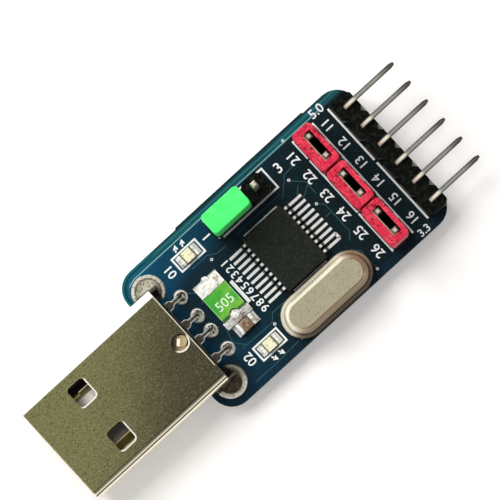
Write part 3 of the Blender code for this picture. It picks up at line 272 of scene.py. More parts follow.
def solder_mask(props):
    """Dark blue mask over glass fibre: teal along the far side, near black towards the crystal, with painted
    shade round the plug's lower tab and a painted highlight along the edge at the plug's far corner.
    """
    m = Finish("solder_mask", specular=0.09)
    drift = m.noise(0.3, 3.0, 0.6)
    fine = m.noise(2.4, 4.0, 0.65)
    speck = m.noise(5.5, 3.0, 0.7)
    streak = m.noise(1.4, 2.0, 0.5, (0.12, 4.0, 1.0))
    half = BOARD_WIDTH / 2
    slant = m.y * 0.4 - m.x * 0.6 + drift * 4.0 - 2.0
    fuse, tab = middle("fuse_body"), middle("shield_solder_lower")
    past_fuse = m.past_outline(m.x - fuse.x - 1.0, m.y - fuse.y, 4.6, 3.8, 2.0) + drift * 3.0
    past_tab = m.past_outline(m.x - tab.x + 0.6, m.y - tab.y + 0.5, 2.6, 2.2, 2.2) + drift * 1.5
    inward = 0.0 - m.past_outline(m.x, m.y, BOARD_LENGTH / 2, half, BOARD_CORNER)
    corner = m.fade(m.y - m.x, 17.6, 20.5)
    rim = m.fade(m.y + drift * 0.2, half - 1.0, half - 0.75)
    body = m.layers(
        m.tint(m.fade(slant, -2.0, 11.0), props.mask_shade, props.mask_color),
        grain=(m.fade(fine, 0.45, 0.75, 0.3), (0.012, 0.045, 0.055)),
        round_fuse=(m.fade(past_fuse, 2.9, 0.9, 0.8), props.mask_shade),
        far_rim=(rim * 0.8, props.mask_rim),
        rim_streaks=(rim * m.fade(streak, 0.46, 0.6, 0.65), (0.006, 0.03, 0.04)),
        far_edge=(m.fade(m.y, half - 0.2, half - 0.12, 0.85), (0.005, 0.022, 0.03)),
        pale_line=(m.line(m.y - half + 0.42, 0.09, 0.03, 0.55), (0.05, 0.24, 0.28)),
        near_rim=(m.fade(0.0 - m.y, half - 1.0, half - 0.6, 0.5), (0.006, 0.022, 0.045)),
        plug_corner=(corner * 0.6, (0.006, 0.09, 0.17)),
        # Painted shade on the mask round the plug's lower tab
        round_tab=(m.fade(past_tab, 2.0, 0.6, 0.8), (0.004, 0.013, 0.024)),
        # Painted highlight along the board's edge at the plug's far corner
        corner_edge=(corner * m.fade(inward, 0.26, 0.18, 0.85), (0.004, 0.15, 0.14)),
        corner_line=(corner * m.line(inward - 0.36, 0.13, 0.06, 0.7), (0.003, 0.02, 0.035)),
        pale_specks=(m.fade(speck, 0.55, 0.68, 0.35), (0.02, 0.075, 0.1)),
        dark_specks=(m.fade(speck, 0.45, 0.35, 0.55), (0.002, 0.008, 0.014)))
    upright = m.line(m.facing_up(), 0.55, 0.3)
    fibre = m.noise(5.0, 3.0, 0.6, (1.0, 1.0, 6.0))
    laminate = m.tint(fibre, (0.015, 0.05, 0.055), (0.05, 0.1, 0.08))
    color, roughness = m.tint(upright, body, laminate), 0.24 + fine * 0.16 + upright * 0.35
    warp, weft = [m.node("ShaderNodeTexWave", {"bands_direction": way},
                         {"Vector": m.place, "Scale": 0.5, "Distortion": 0.4}) for way in ("X", "Y")]
    return m.finish(color, roughness, warp * weft * 0.5 + fine * 0.5, 0.012)


def trace_mask():
    """Solder mask where it runs over copper: paler, and palest along the board's far side."""
    m = Finish("trace_mask", roughness=0.3, specular=0.2)
    drift = m.noise(0.5, 3.0)
    color = m.layers(
        m.tint(drift, (0.016, 0.06, 0.08), (0.045, 0.13, 0.16)),
        far_side=(m.fade(m.y, 7.5, 7.7), m.tint(drift, (0.08, 0.26, 0.3), (0.3, 0.55, 0.58))))
    return m.set(Base_Color=color).material


def board_print(props):
    """White printing with uneven cover."""
    m = Finish("board_print", specular=0.3)
    patch = m.noise(3.0, 5.0, 0.7)
    color = m.layers(props.print_color, worn=(m.fade(patch, 0.58, 0.8, 0.5), (0.3, 0.36, 0.4)))
    return m.finish(color, 0.6, patch, 0.01)


def tinned_pad():
    """Bright tinned copper with small ripples."""
    m = Finish("tinned_pad", metallic=0.25)
    ripple = m.noise(3.0, 4.0, 0.6)
    return m.finish(m.tint(ripple, (0.7, 0.69, 0.66), (1.0, 1.0, 0.98)), 0.25 + ripple * 0.25, ripple, 0.03)


def plug_plate(props):
    """Nickel-plated sheet with a dense speckled grain, with painted light towards the mouth and painted shade
    towards the board, and painted highlights and reflections on its rims and roundings.
    """
    m = Finish("plug_plate", metallic=1.0)
    grain = m.noise(4.6, 3.0, 0.75)
    dust = m.noise(7.5, 2.0, 0.6)
    patch = m.noise(0.35, 3.0, 0.55)
    # Painted shading: the plating is painted lit towards the mouth and shaded towards the board; the pale
    # grain and the dust thin out with it
    along = m.fade(m.x - m.y * 0.9 + patch * 6.0, -25.0, -8.0)
    low, high, centre, rear = plug_lines()

    # Painted highlights: a bright line along the rear edge, and bright rims on one side of the windows and
    # the latch hole
    rear_line, flap_corner, rim_width = rear - 0.36, centre - 4.05, 0.17
    bright = m.line(m.x - rear_line, 0.05, 0.02) * m.fade(m.y, flap_corner - 0.1, flap_corner + 0.1)
    openings = [(low.x + WINDOW_MIDDLE, centre + side * WINDOW_ASIDE, WINDOW_OUTLINE, 1.0, -0.1)
                for side in (1, -1)]
    openings.append((rear - LATCH_HOLE_INSET, centre, LATCH_HOLE_OUTLINE, 0.3, 0.0))
    for x, y, outline, lean, start in openings:
        ahead, aside = m.x - x, m.y - y
        rim = m.fade(m.past_outline(ahead, aside, *outline), rim_width, rim_width - 0.05)
        bright = bright.larger(rim * m.fade(ahead * lean - aside, start, 0.4))
    bright = bright * m.fade(m.z, high.z - 0.3, high.z - 0.1)

    # Painted reflections: white on the far rounding, cream with a black line on the near one
    far_start, near_start, near_line = 5.12, 5.3, 5.74
    far = m.fade(m.y - centre, far_start, far_start + 0.12) * m.fade(m.z, high.z - 1.2, high.z - 0.7)
    near = centre - m.y
    color = m.layers(
        m.tint(along, props.plug_color, props.plug_shade),
        pale_grain=(m.fade(grain, 0.54, 0.64) * (0.45 - along * 0.2), (0.66, 0.63, 0.36)),
        dark_grain=(m.fade(grain, 0.45, 0.36, 0.6), (0.05, 0.045, 0.02)),
        dust=(m.fade(dust, 0.6, 0.68) * (0.4 - along * 0.15), (0.85, 0.82, 0.58)),
        # Painted reflection of the white floor on the side walls
        sides=(m.fade(m.z, high.z - 0.08, high.z - 0.3, 0.75), (0.82, 0.77, 0.62)),
        far_rounding=(far, (1.0, 1.0, 0.97)),
        near_rounding=(m.fade(near, near_start, near_start + 0.12, 0.85), (0.9, 0.84, 0.66)),
        near_line=(m.line(near - near_line, 0.09, 0.04, 0.95), (0.012, 0.01, 0.006)),
        # Painted shade on the rear bend
        rear_bend=(m.fade(m.x, rear - 0.31, rear - 0.29, 0.8), (0.04, 0.035, 0.02)),
        bright=(bright * 0.95, (1.0, 0.98, 0.88)))
    # Less metal where the painted highlights and the far rounding's painted reflection lie
    pale = (bright * 0.85).larger(far * 0.5)
    return m.finish(color, 0.18 + grain * 0.12, grain + dust * 0.5, 0.012, 1.0 - pale)


def drawn_can():
    """Champagne-coloured drawn steel with fine dots, dark lines along its edges as painted shade, brown
    painted shade on its shaded roundings and painted light on its lit ones.
    """
    m = Finish("drawn_can", metallic=1.0)
    grain = m.noise(6.0, 3.0, 0.65)
    patch = m.noise(0.5, 2.0, 0.5)
    low, high = reach("crystal_can")
    centre, half = (low + high) / 2, (high - low) / 2
    inward = 0.0 - m.past_outline(m.x - centre.x, m.y - centre.y, half.x, half.y, half.y)
    # Painted light and shade: roundings on the shaded side are painted brown, those on the lit side pale
    shaded = m.fade(centre.y - m.y, 0.4, 1.6).larger(m.fade(m.x - centre.x, 3.0, 4.6))
    rim = m.fade(inward, 1.02, 0.92)
    lit, brown = rim * (1 - shaded), rim * shaded
    color = m.layers(
        m.tint(patch, (0.78, 0.69, 0.46), (0.9, 0.82, 0.6)),
        pale_grain=(m.fade(grain, 0.56, 0.68, 0.4), (1.0, 0.96, 0.82)),
        dark_grain=(m.fade(grain, 0.45, 0.36, 0.5), (0.36, 0.3, 0.19)),
        lit_rim=(lit * 0.5, (1.0, 0.97, 0.85)),
        brown_rim=(brown * 0.85, (0.22, 0.14, 0.075)))
    # Painted shade: dark lines along the flange's edge, the step to the wall and the top's edge, deeper on
    # the shaded side
    for inset, width, depth in ((0.03, 0.08, 0.9), (0.42, 0.1, 0.85), (0.97, 0.07, 0.7)):
        line = m.line(inward - inset, width, width * 0.4, depth)
        color = m.tint(line * (0.35 + shaded * 0.65), color, (0.04, 0.03, 0.02))
    return m.finish(color, 0.22 + grain * 0.2, grain, 0.008, 1.0 - lit * 0.45 - brown * 0.75)


def cap_plastic(name, color, pale, deep, blots):
    """Moulded cap plastic with pale and deep patches and, as far as `blots` says, dark red blots."""
    m = Finish(name, specular=0.2)
    patch = m.noise(0.9, 4.0, 0.65)
    fine = m.noise(5.0, 3.0, 0.6)
    blot = m.noise(2.4, 4.0, 0.7)
    shade = m.layers(
        color,
        pale=(m.fade(patch, 0.38, 0.62), pale),
        deep=(m.fade(fine, 0.46, 0.62, 0.6), deep),
        blots=(m.fade(blot, 0.5, 0.66, blots), (0.1, 0.004, 0.008)))
    return m.finish(shade, 0.34 + fine * 0.18, patch + fine * 0.5, 0.014)


def header_plastic():
    """Black moulding with a dull sheen and mould dust."""
    m = Finish("header_plastic", specular=0.09)
    patch = m.noise(2.4, 4.0, 0.65)
    fine = m.noise(9.0, 2.0)
    color = m.layers(
        m.tint(m.fade(patch, 0.46, 0.64), (0.001, 0.0015, 0.001), (0.011, 0.015, 0.01)),
        dust=(m.fade(fine, 0.6, 0.75, 0.3), (0.04, 0.045, 0.036)))
    return m.finish(color, 0.26 + fine * 0.2, patch + fine * 0.4, 0.015)


def soldered_wire(m, wire, patch):
    """The wire's colour above the board and set solder below it."""
    low = m.fade(m.z, -BOARD_THICKNESS, -BOARD_THICKNESS - 0.1)
    return m.tint(low, wire, m.tint(patch, (0.6, 0.6, 0.58), (0.92, 0.92, 0.9)))


def pin_metal(name):
    """Tinned wire drawn lengthwise, pale at its tip with a painted highlight, with dull solder below the
    board.
    """
    m = Finish(name, metallic=1.0)
    drawn = m.noise(2.5, 3.0, 0.6, (0.5, 5.0, 5.0))
    patch = m.noise(2.2, 3.0, 0.6)
    tip_start = 7.9
    # The tip: the brass of the cut end, brightened by a painted highlight
    tip = m.fade(m.z, tip_start, tip_start + 0.3)
    wire = m.layers(
        m.tint(drawn, (0.4, 0.37, 0.3), (0.95, 0.93, 0.82)),
        tarnish=(m.fade(patch, 0.55, 0.75, 0.5), (0.2, 0.16, 0.11)),
        tip=(tip * 0.6, m.tint(patch, (0.5, 0.42, 0.28), (1.0, 0.96, 0.84))))
    color, relief = soldered_wire(m, wire, patch), drawn * 0.6 + patch * 0.6
    return m.finish(color, 0.26 + patch * 0.2, relief, 0.02, 1.0 - tip * 0.5)


def bent_pin_metal():
    """Bent pins: a painted highlight outside the bend, grey along the shaft with painted shade along its
    sides, and a dark cut tip.
    """
    m = Finish("bent_pin_wire")
    low, high = reach("edge_pin_1")
    drawn = m.noise(2.5, 3.0, 0.6, (0.5, 5.0, 5.0))
    patch = m.noise(2.0, 3.0, 0.6)
    across = m.math("PINGPONG", abs(m.y - (low.y + high.y) / 2), CELL / 2)
    # Painted highlight on the outside of the bend
    bend = m.fade(m.x, low.x + 2.3, low.x + 1.7) * m.fade(m.z, 2.4, 2.6)
    wire = m.layers(
        m.tint(drawn, (0.26, 0.25, 0.225), (0.8, 0.78, 0.72)),
        cut_tip=(m.fade(m.x, high.x - 2.6, high.x - 0.3, 0.75), (0.05, 0.04, 0.035)),
        bend=(bend * 0.9, m.tint(patch, (0.8, 0.75, 0.55), (1.0, 0.97, 0.85))),
        # Painted shade along both sides of the shaft
        dark_sides=(m.fade(across, 0.11, 0.2, 0.88), (0.03, 0.026, 0.02)))
    color, relief = soldered_wire(m, wire, patch), drawn * 0.6 + patch * 0.6
    return m.finish(color, 0.28 + patch * 0.22, relief, 0.02, 1.0 - bend * 0.75)


def contact_metal():
    """Gilt strips inside the plug, painted dark as shade with painted highlights on their edges; bent tails
    in painted shade with painted highlights on their edges; solder with painted highlights on its rim over
    painted shade in its middle.
    """
    m = Finish("contact_metal", metallic=1.0)
    low, _, _, rear = plug_lines()
    outer, inner = middle("plug_contact_1").y, middle("plug_contact_2").y
    centre = (outer + middle("plug_contact_4").y) / 2
    aside = m.y - centre
    across = abs(abs(aside) - (outer - centre)).smaller(abs(abs(aside) - (inner - centre)))
    patch = m.noise(2.6, 4.0, 0.6)
    strip_middle = 3.27
    far_window = m.fade(aside, 2.0, 2.5)
    ahead = m.fade(m.x, low.x + WINDOW_MIDDLE - 0.4, low.x + WINDOW_MIDDLE - 0.2)
    # Painted light inside the shell: gilt painted dark as shade, painted highlights on the strips' edges and
    # along one line, painted shade over the far half of each window
    gilt = m.layers(
        m.tint(patch, (0.05, 0.036, 0.012), (0.16, 0.12, 0.035)),
        bright_edges=(m.fade(across, 0.38, 0.44), (1.0, 0.86, 0.42)),
        far_half=(far_window * m.fade(aside, strip_middle, strip_middle + 0.06), (0.012, 0.008, 0.01)),
        near_half=(far_window * m.fade(aside, strip_middle, strip_middle - 0.06) * ahead, (0.16, 0.14, 0.03)),
        bright_line=(m.line(aside - strip_middle, 0.07, 0.03) * ahead, (1.0, 0.95, 0.6)))
    half = 0.5 - m.fade(m.x, rear + 0.4, rear + 0.7, 0.25)
    # Tails: painted shade with painted highlights along their edges
    tail = m.layers(
        m.tint(patch, (0.03, 0.028, 0.022), (0.2, 0.185, 0.15)),
        bright_edges=(m.fade(across - half, -0.14, -0.08, 0.9), (1.0, 0.98, 0.92)))
    # Solder: painted highlights round its rim and in blotches, painted shade in its middle
    spread = m.length(m.x - (rear + CONTACT_JOINT), across)
    blob = m.fade(m.noise(3.2, 3.0, 0.6), 0.5, 0.58, 0.85)
    shine = m.fade(spread + patch * 0.9, 0.82, 1.02).larger(blob)
    dome = m.tint(shine, (0.09, 0.08, 0.065), (1.0, 0.98, 0.93))
    color = m.layers(
        gilt,
        tail=(m.fade(m.x, rear - 0.2, rear), tail),
        solder=(m.fade(m.z, 0.42, 0.3) * m.fade(m.x, rear, rear + 0.3), dome))
    return m.finish(color, 0.24 + patch * 0.2, patch, 0.05)


def set_solder(name):
    """Solder that set with ripples: bright, with dark pits."""
    m = Finish(name, metallic=0.15)
    ripple = m.noise(1.6, 5.0, 0.65)
    fine = m.noise(6.0, 3.0, 0.6)
    color = m.layers(
        m.tint(m.fade(ripple, 0.34, 0.5), (0.4, 0.38, 0.32), (1.0, 0.99, 0.95)),
        pits=(m.fade(fine, 0.58, 0.68, 0.8), (0.12, 0.11, 0.09)))
    return m.finish(color, 0.2 + fine * 0.3, ripple + fine * 0.3, 0.06)


def tab_solder(name, place, dark):
    """Solder ring of a shell tab, shaded along the shell; a dark one has painted shade in its middle and on
    one side, a bright one a painted shadow line round the tab.
    """
    m = Finish(name, metallic=0.6)
    ripple = m.noise(1.4, 4.0, 0.6)
    fine = m.noise(4.0, 4.0, 0.65)
    low, _, centre, _ = plug_lines()
    half = SHELL_LENGTH / 2
    past_shell = m.past_outline(m.x - low.x - half, m.y - centre, half, SHELL_WIDTH / 2, 0.4)
    ahead, aside = m.x - place.x, m.y - place.y
    away = m.length(ahead, aside)
    bright = m.tint(ripple, (0.72, 0.68, 0.55), (1.0, 0.98, 0.92))
    pits = (m.fade(fine, 0.5, 0.62, 0.75), (0.2, 0.18, 0.14))
    shell_shade = (m.fade(past_shell, 0.42, 0.26, 0.92), (0.035, 0.026, 0.016))
    if dark:
        color = m.layers(
            # Painted shade of the shell's side wall fills the middle, inside a bright ring
            m.tint(ripple, (0.03, 0.022, 0.016), (0.1, 0.075, 0.055)),
            ring=(m.fade(away + ripple * 0.12, TAB_RING - 0.08, TAB_RING + 0.1), bright),
            pits=pits,
            # More painted shade on the side towards the board's middle
            dull_side=(m.fade(ahead + aside + ripple, 0.5, 2.0, 0.75), (0.2, 0.19, 0.13)),
            shell_shade=shell_shade)
    else:
        color = m.layers(
            bright,
            # Painted shadow line where the solder meets the tab
            groove=(m.line(away - TAB_RING, 0.14, 0.04, 0.85), (0.16, 0.145, 0.11)),
            stains=(m.fade(ripple, 0.56, 0.66, 0.8) * m.fade(away, 1.2, 0.9), (0.3, 0.28, 0.2)),
            pits=pits,
            shell_shade=shell_shade)
    return m.finish(color, 0.28 + ripple * 0.2, ripple, 0.05)


def insulator_plastic():
    """Off-white moulded insulator, with painted shade below the windows, and painted shade and a painted
    highlight round the latch peg's slot.
    """
    m = Finish("insulator_plastic", specular=0.3)
    patch = m.noise(0.8, 4.0, 0.6)
    low, _, centre, rear = plug_lines()
    aside = m.y - centre
    inside = m.fade(m.x, low.x + 1.5, low.x + 3.0) * m.fade(m.x, low.x + 9.0, low.x + 8.0)
    from_window = m.math("PINGPONG", aside + WINDOW_ASIDE * 3, WINDOW_ASIDE * 2) - WINDOW_ASIDE
    ahead = m.x - low.x - WINDOW_MIDDLE + patch * 0.4
    from_hole = m.x - (rear - LATCH_HOLE_INSET)
    across, along = from_hole * 0.7 - aside * 0.7, from_hole * 0.7 + aside * 0.7
    # The peg: painted shade, dark on one side and brown on the other, with a painted highlight bar
    peg = m.layers(
        m.tint(m.fade(across + patch * 0.4, -0.4, 0.8), (0.03, 0.02, 0.01), (0.5, 0.38, 0.22)),
        stud=(m.fade(m.past_outline(across + 0.12, along, 0.13, 0.36, 0.06), 0.06, 0.0), (0.9, 0.84, 0.66)))
    color = m.layers(
        m.tint(patch, (0.6, 0.56, 0.5), (0.86, 0.84, 0.8)),
        # Painted shade inside the shell: beside the windows, towards the mouth and along the far side
        brown_side=(inside * m.fade(from_window, -0.5, 0.6, 0.85), (0.05, 0.035, 0.025)),
        grey_end=(inside * m.fade(ahead, 0.7, -0.9, 0.8), (0.14, 0.12, 0.12)),
        olive_strip=(inside * m.fade(aside, 2.6, 2.68, 0.9) * m.fade(aside, 3.1, 3.0), (0.1, 0.085, 0.025)),
        dark_strip=(inside * m.fade(aside, 3.6, 3.7, 0.9), (0.012, 0.008, 0.01)),
        peg=(m.fade(abs(from_hole).larger(abs(aside)), 1.0, 0.9), peg))
    return m.finish(color, 0.34 + patch * 0.15, m.noise(8.0), 0.01)


def chip_finish():
    """Charcoal moulding compound; its leads are bright at foot and shoulder, with painted shade on the slope.
    """
    m = Finish("chip_moulding", specular=0.2)
    sand = m.noise(9.0, 3.0, 0.7)
    patch = m.noise(0.9, 4.0, 0.6)
    out = abs(m.x - middle("interface_chip").x)
    lead = m.fade(out, CHIP_BODY_HALF + 0.006, CHIP_BODY_HALF + 0.012)
    # Painted shade on the slope of each lead, between shoulder and foot
    slope = m.fade(m.z, 0.2, 0.36) * m.fade(m.z, 0.98, 0.84)
    start, stop = CHIP_SLOPE
    slope = slope.larger(m.fade(out, start, start + 0.08) * m.fade(out, stop, stop - 0.08))
    tin = m.layers(
        m.tint(m.noise(3.5, 4.0, 0.6), (0.75, 0.74, 0.7), (1.0, 1.0, 0.98)),
        slope=(slope * 0.95, (0.02, 0.02, 0.016)))
    color = m.layers(
        m.tint(patch, (0.004, 0.006, 0.004), (0.013, 0.017, 0.012)),
        grey_patches=(m.fade(m.noise(3.2, 4.0, 0.7), 0.5, 0.66, 0.7), (0.03, 0.036, 0.028)),
        sand=(m.fade(sand, 0.56, 0.72, 0.5), (0.075, 0.085, 0.072)),
        leads=(lead, tin))
    relief = sand * (1 - lead) + m.noise(4.0) * lead
    return m.finish(color, 0.5 + sand * 0.15 - lead * 0.28, relief, 0.015, lead * 0.2)


def fuse_coat():
    """Printed green coating, yellower in patches, with darker laminate at its sides and a painted shadow
    across its lower end.
    """
    m = Finish("fuse_coat", specular=0.25)
    centre = middle("fuse_body")
    patch = m.noise(0.7, 3.0, 0.55)
    fine = m.noise(6.0, 3.0, 0.6)
    color = m.layers(
        m.tint(m.fade(patch, 0.35, 0.65), (0.05, 0.38, 0.04), (0.19, 0.5, 0.06)),
        pale_specks=(m.fade(fine, 0.55, 0.75, 0.3), (0.25, 0.6, 0.18)),
        pale_edges=(m.fade(abs(m.x - centre.x), 1.36, 1.46, 0.55), (0.42, 0.68, 0.36)),
        # Painted shadow across the body's lower end
        dark_end=(m.fade(m.y + patch * 0.5, centre.y - 1.55, centre.y - 1.75, 0.8), (0.01, 0.05, 0.012)),
        laminate=(m.line(m.facing_up(), 0.5, 0.3), (0.02, 0.09, 0.02)))
    return m.finish(color, 0.34 + fine * 0.15, fine, 0.01)


def fuse_print():
    """Pale green print of the fuse's number."""
    m = Finish("fuse_print", roughness=0.5)
    return m.set(Base_Color=m.tint(m.noise(5.0, 3.0), (0.6, 0.8, 0.55), (0.95, 1.0, 0.9))).material


def ceramic_finish():
    """Fired tan ceramic with small darker grains and pale patches."""
    m = Finish("ceramic_block", specular=0.25)
    grain = m.noise(4.0, 4.0, 0.65)
    patch = m.noise(1.3, 3.0, 0.6)
    color = m.layers(
        m.tint(grain, (0.05, 0.03, 0.018), (0.32, 0.21, 0.13)),
        pale_patches=(m.fade(patch, 0.5, 0.64, 0.6), (0.62, 0.5, 0.36)))
    return m.finish(color, 0.42 + grain * 0.2, grain, 0.015)


def lens_finish(props):
    """Milky lens, warm yellow with dark specks, darker towards its base."""
    m = Finish("lamp_lens", specular=0.35)
    patch = m.noise(1.8, 3.0, 0.6)
    fine = m.noise(4.5, 3.0, 0.6)
    color = m.layers(
        m.tint(patch, props.lens_color, (0.95, 0.93, 0.74)),
        specks=(m.fade(fine, 0.56, 0.66, 0.7), (0.3, 0.28, 0.12)),
        base=(m.fade(m.z, 0.5, 0.4, 0.8), (0.06, 0.06, 0.045)))
    return m.finish(color, 0.2 + patch * 0.15, patch, 0.02)


def clip_metal():
    """Brass spring clips: bright where they grip the pins and darker between them, with a painted highlight
    along their top edge and on the side towards the chip.
    """
    m = Finish("spring_clip", metallic=0.6)
    patch = m.noise(2.5, 3.0, 0.6)
    bright = m.tint(patch, (0.6, 0.5, 0.3), (1.0, 0.93, 0.72))
    from_cap = m.math("PINGPONG", abs(m.y - middle("red_jumper_cap_2").y), CELL)
    # Bright near the pins, and a painted highlight along the top edge and the side towards the chip, which
    # the cap's lip shades
    grip = m.fade(from_cap, 0.75, 1.05).larger(m.fade(m.x, 7.0, 6.0)).larger(m.fade(m.z, 7.6, 7.8))
    return m.finish(m.tint(grip, (0.3, 0.22, 0.1), bright), 0.22 + patch * 0.2, patch, 0.02)


def paint(material, *nodes):
    """Give CAD nodes a finish in all their material slots."""
    for name in nodes:
        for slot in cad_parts[name].material_slots:
            slot.material = material


def series(name, count):
    """Names of numbered CAD nodes."""
    return ["%s_%d" % (name, number) for number in range(1, count + 1)]


# Pieces


def new_piece(name, mesh, material):
    """A finished piece at the row frame's origin that rides on the module."""
    mesh.name = name
    mesh.materials.clear()
    mesh.materials.append(material)
    piece = bpy.data.objects.new(name, mesh)
    bpy.context.scene.collection.objects.link(piece)
    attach(piece, "root")
    return piece


def ribbon_outline(path, width, closed):
    """Left and right edge of a strip along a path, with mitred corners."""
    points = [Vector(point) for point in path]
    left, right = [], []
    count = len(points)
    for index, here in enumerate(points):
        before = here - points[index - 1] if closed or index > 0 else None
        after = points[(index + 1) % count] - here if closed or index < count - 1 else None
        before = (before or after).normalized()
        after = (after or before).normalized()
        normal_in = Vector((-before.y, before.x))
        normal_out = Vector((-after.y, after.x))
        mitre = (normal_in + normal_out).normalized()
        out = width / 2 / max(mitre.dot(normal_in), 0.3)
        left.append(here + mitre * out)
        right.append(here - mitre * out)
    return left, right


def add_strip(bm, path, width, low, high, closed=False):
    """A flat raised strip along a path on the board."""
    left, right = ribbon_outline(path, width, closed)
    count = len(left)
    rows = [[bm.verts.new(at(point.x, point.y, height)) for point in side]
            for side, height in ((left, low), (right, low), (right, high), (left, high))]
    spans = count if closed else count - 1
    for index in range(spans):
        ahead = (index + 1) % count
        for row in range(4):
            other = (row + 1) % 4
            bm.faces.new((rows[row][index], rows[row][ahead], rows[other][ahead], rows[other][index]))
    if not closed:
        bm.faces.new([rows[row][0] for row in range(4)])
        bm.faces.new([rows[row][-1] for row in range(4)][::-1])


def add_plate(bm, outline, low, high):
    """A flat raised plate from an outline."""
    base = [bm.verts.new(at(x, y, low)) for x, y in outline]
    top = bmesh.ops.extrude_face_region(bm, geom=[bm.faces.new(base)])["geom"]
    moved = [item for item in top if isinstance(item, bmesh.types.BMVert)]
    bmesh.ops.translate(bm, verts=moved, vec=(0.0, 0.0, (high - low) * MM))


def add_lump(bm, x, y, half_x, half_y, low, high, turn):
    """A low lump of set solder with a wavy rim, on a flat base."""
    spokes, rings = 48, 9
    rows = []
    for ring in range(1, rings + 1):
        share = ring / rings
        row = []
        for spoke in range(spokes):
            angle = math.tau * spoke / spokes
            wave = 1 + 0.07 * math.sin(3 * angle + turn) + 0.06 * math.sin(5 * angle - 2 * turn)
            wave += 0.035 * math.sin(11 * angle + 3 * turn)
            across, along = math.cos(angle), math.sin(angle)
            reach_x = half_x * math.copysign(abs(across) ** 0.6, across) * share * wave
            reach_y = half_y * math.copysign(abs(along) ** 0.6, along) * share * wave
            ripple = 1 + 0.22 * math.sin(7 * reach_x + turn) * math.sin(6 * reach_y - turn)
            rise = (high - low) * math.sqrt(1 - share ** 3) * ripple
            row.append(bm.verts.new(at(x + reach_x, y + reach_y, low + rise)))
        rows.append(row)
    top = bm.verts.new(at(x, y, high))
    for spoke in range(spokes):
        ahead = (spoke + 1) % spokes
        bm.faces.new((top, rows[0][spoke], rows[0][ahead]))
        for inner, outer in zip(rows, rows[1:]):
            bm.faces.new((inner[spoke], outer[spoke], outer[ahead], inner[ahead]))
    bm.faces.new(rows[-1][::-1])


def to_mesh(bm):
    """The finished mesh, its faces turned outwards."""
    bmesh.ops.recalc_face_normals(bm, faces=bm.faces)
    mesh = bpy.data.meshes.new("piece")
    bm.to_mesh(mesh)
    bm.free()
    return mesh


def add_text(bm, words, x, y, height, turn, low, high, bold=0.018):
    """A plain number as thin raised print, centred on a place and turned about it, in degrees."""
    curve = bpy.data.curves.new("print_text", "FONT")
    curve.body = words
    curve.size = height / 0.7 * MM
    curve.align_x = "CENTER"
    curve.align_y = "CENTER"
    curve.offset = bold * MM
    curve.extrude = (high - low) / 2 * MM
    curve.resolution_u = 3
    holder = bpy.data.objects.new("print_text", curve)
    bpy.context.scene.collection.objects.link(holder)
    bpy.context.view_layer.update()
    mesh = bpy.data.meshes.new_from_object(holder)
    place = Matrix.Translation(at(x, y, (low + high) / 2))
    mesh.transform(place @ Matrix.Rotation(math.radians(turn), 4, "Z"))
    bm.from_mesh(mesh)
    bpy.data.objects.remove(holder, do_unlink=True)
    bpy.data.meshes.remove(mesh)
    bpy.data.curves.remove(curve)


# Geometry trees for what repeats


class Maker(Graph):
    """A geometry node tree with named inputs, which ends in realised, painted geometry."""

    def __init__(self, name):
        self.group = bpy.data.node_groups.new(name, "GeometryNodeTree")
        super().__init__(self.group)
        self.group.interface.new_socket("Geometry", in_out="OUTPUT", socket_type="NodeSocketGeometry")
        self.names = {}
        self.entry = self.tree.nodes.new("NodeGroupInput")

    def value(self, name, default, kind="NodeSocketFloat"):
        """A named input of the tree."""
        socket = self.group.interface.new_socket(name, in_out="INPUT", socket_type=kind)
        if default is not None:
            socket.default_value = default
        self.names[name] = socket.identifier
        return Out(self, self.entry.outputs[name])

    def plates(self, outline, rise, places):
        """The filled outline as a low plate on each of the places."""
        filled = self.node("GeometryNodeFillCurve", {"mode": "NGONS"}, {0: outline})
        solid = self.node("GeometryNodeExtrudeMesh", None,
                          {"Mesh": filled, "Offset Scale": rise, "Individual": False})
        return self.node("GeometryNodeInstanceOnPoints", None, {"Points": places, "Instance": solid})

    def close(self, geometry):
        """End the tree with realised geometry in the material that is passed in."""
        material = self.value("Material", None, "NodeSocketMaterial")
        real = self.node("GeometryNodeRealizeInstances", None, {0: geometry})
        painted = self.node("GeometryNodeSetMaterial", None, {"Geometry": real, "Material": material})
        leave = self.tree.nodes.new("NodeGroupOutput")
        self.tree.links.new(painted.socket, leave.inputs[0])
        return self

    def run(self, base, material, **values):
        """The tree's result on a base mesh as a plain mesh; the values are in millimetres."""
        holder = bpy.data.objects.new("maker", base)
        bpy.context.scene.collection.objects.link(holder)
        modifier = holder.modifiers.new("maker", "NODES")
        modifier.node_group = self.group
        modifier[self.names["Material"]] = material
        for name, value in values.items():
            modifier[self.names[name]] = value * MM
        evaluated = holder.evaluated_get(bpy.context.evaluated_depsgraph_get())
        mesh = bpy.data.meshes.new_from_object(evaluated)
        holder.modifiers.remove(modifier)
        bpy.data.objects.remove(holder, do_unlink=True)
        return mesh


def ring_maker():
    """Flat rings with a hole, one on each point of the base mesh."""
    maker = Maker("ring_on_each_point")
    source = maker.value("Base", None, "NodeSocketGeometry")
    outer = maker.value("Outer", 1.0 * MM)
    inner = maker.value("Inner", 0.5 * MM)
    rise = maker.value("Rise", PAD_RISE * MM)
    both = maker.tree.nodes.new("GeometryNodeJoinGeometry")
    for radius in (inner, outer):
        circle = maker.node("GeometryNodeCurvePrimitiveCircle", None, {"Resolution": 24, "Radius": radius})
        maker.tree.links.new(circle.socket, both.inputs[0])
    return maker.close(maker.plates(Out(maker, both.outputs[0]), rise, source))


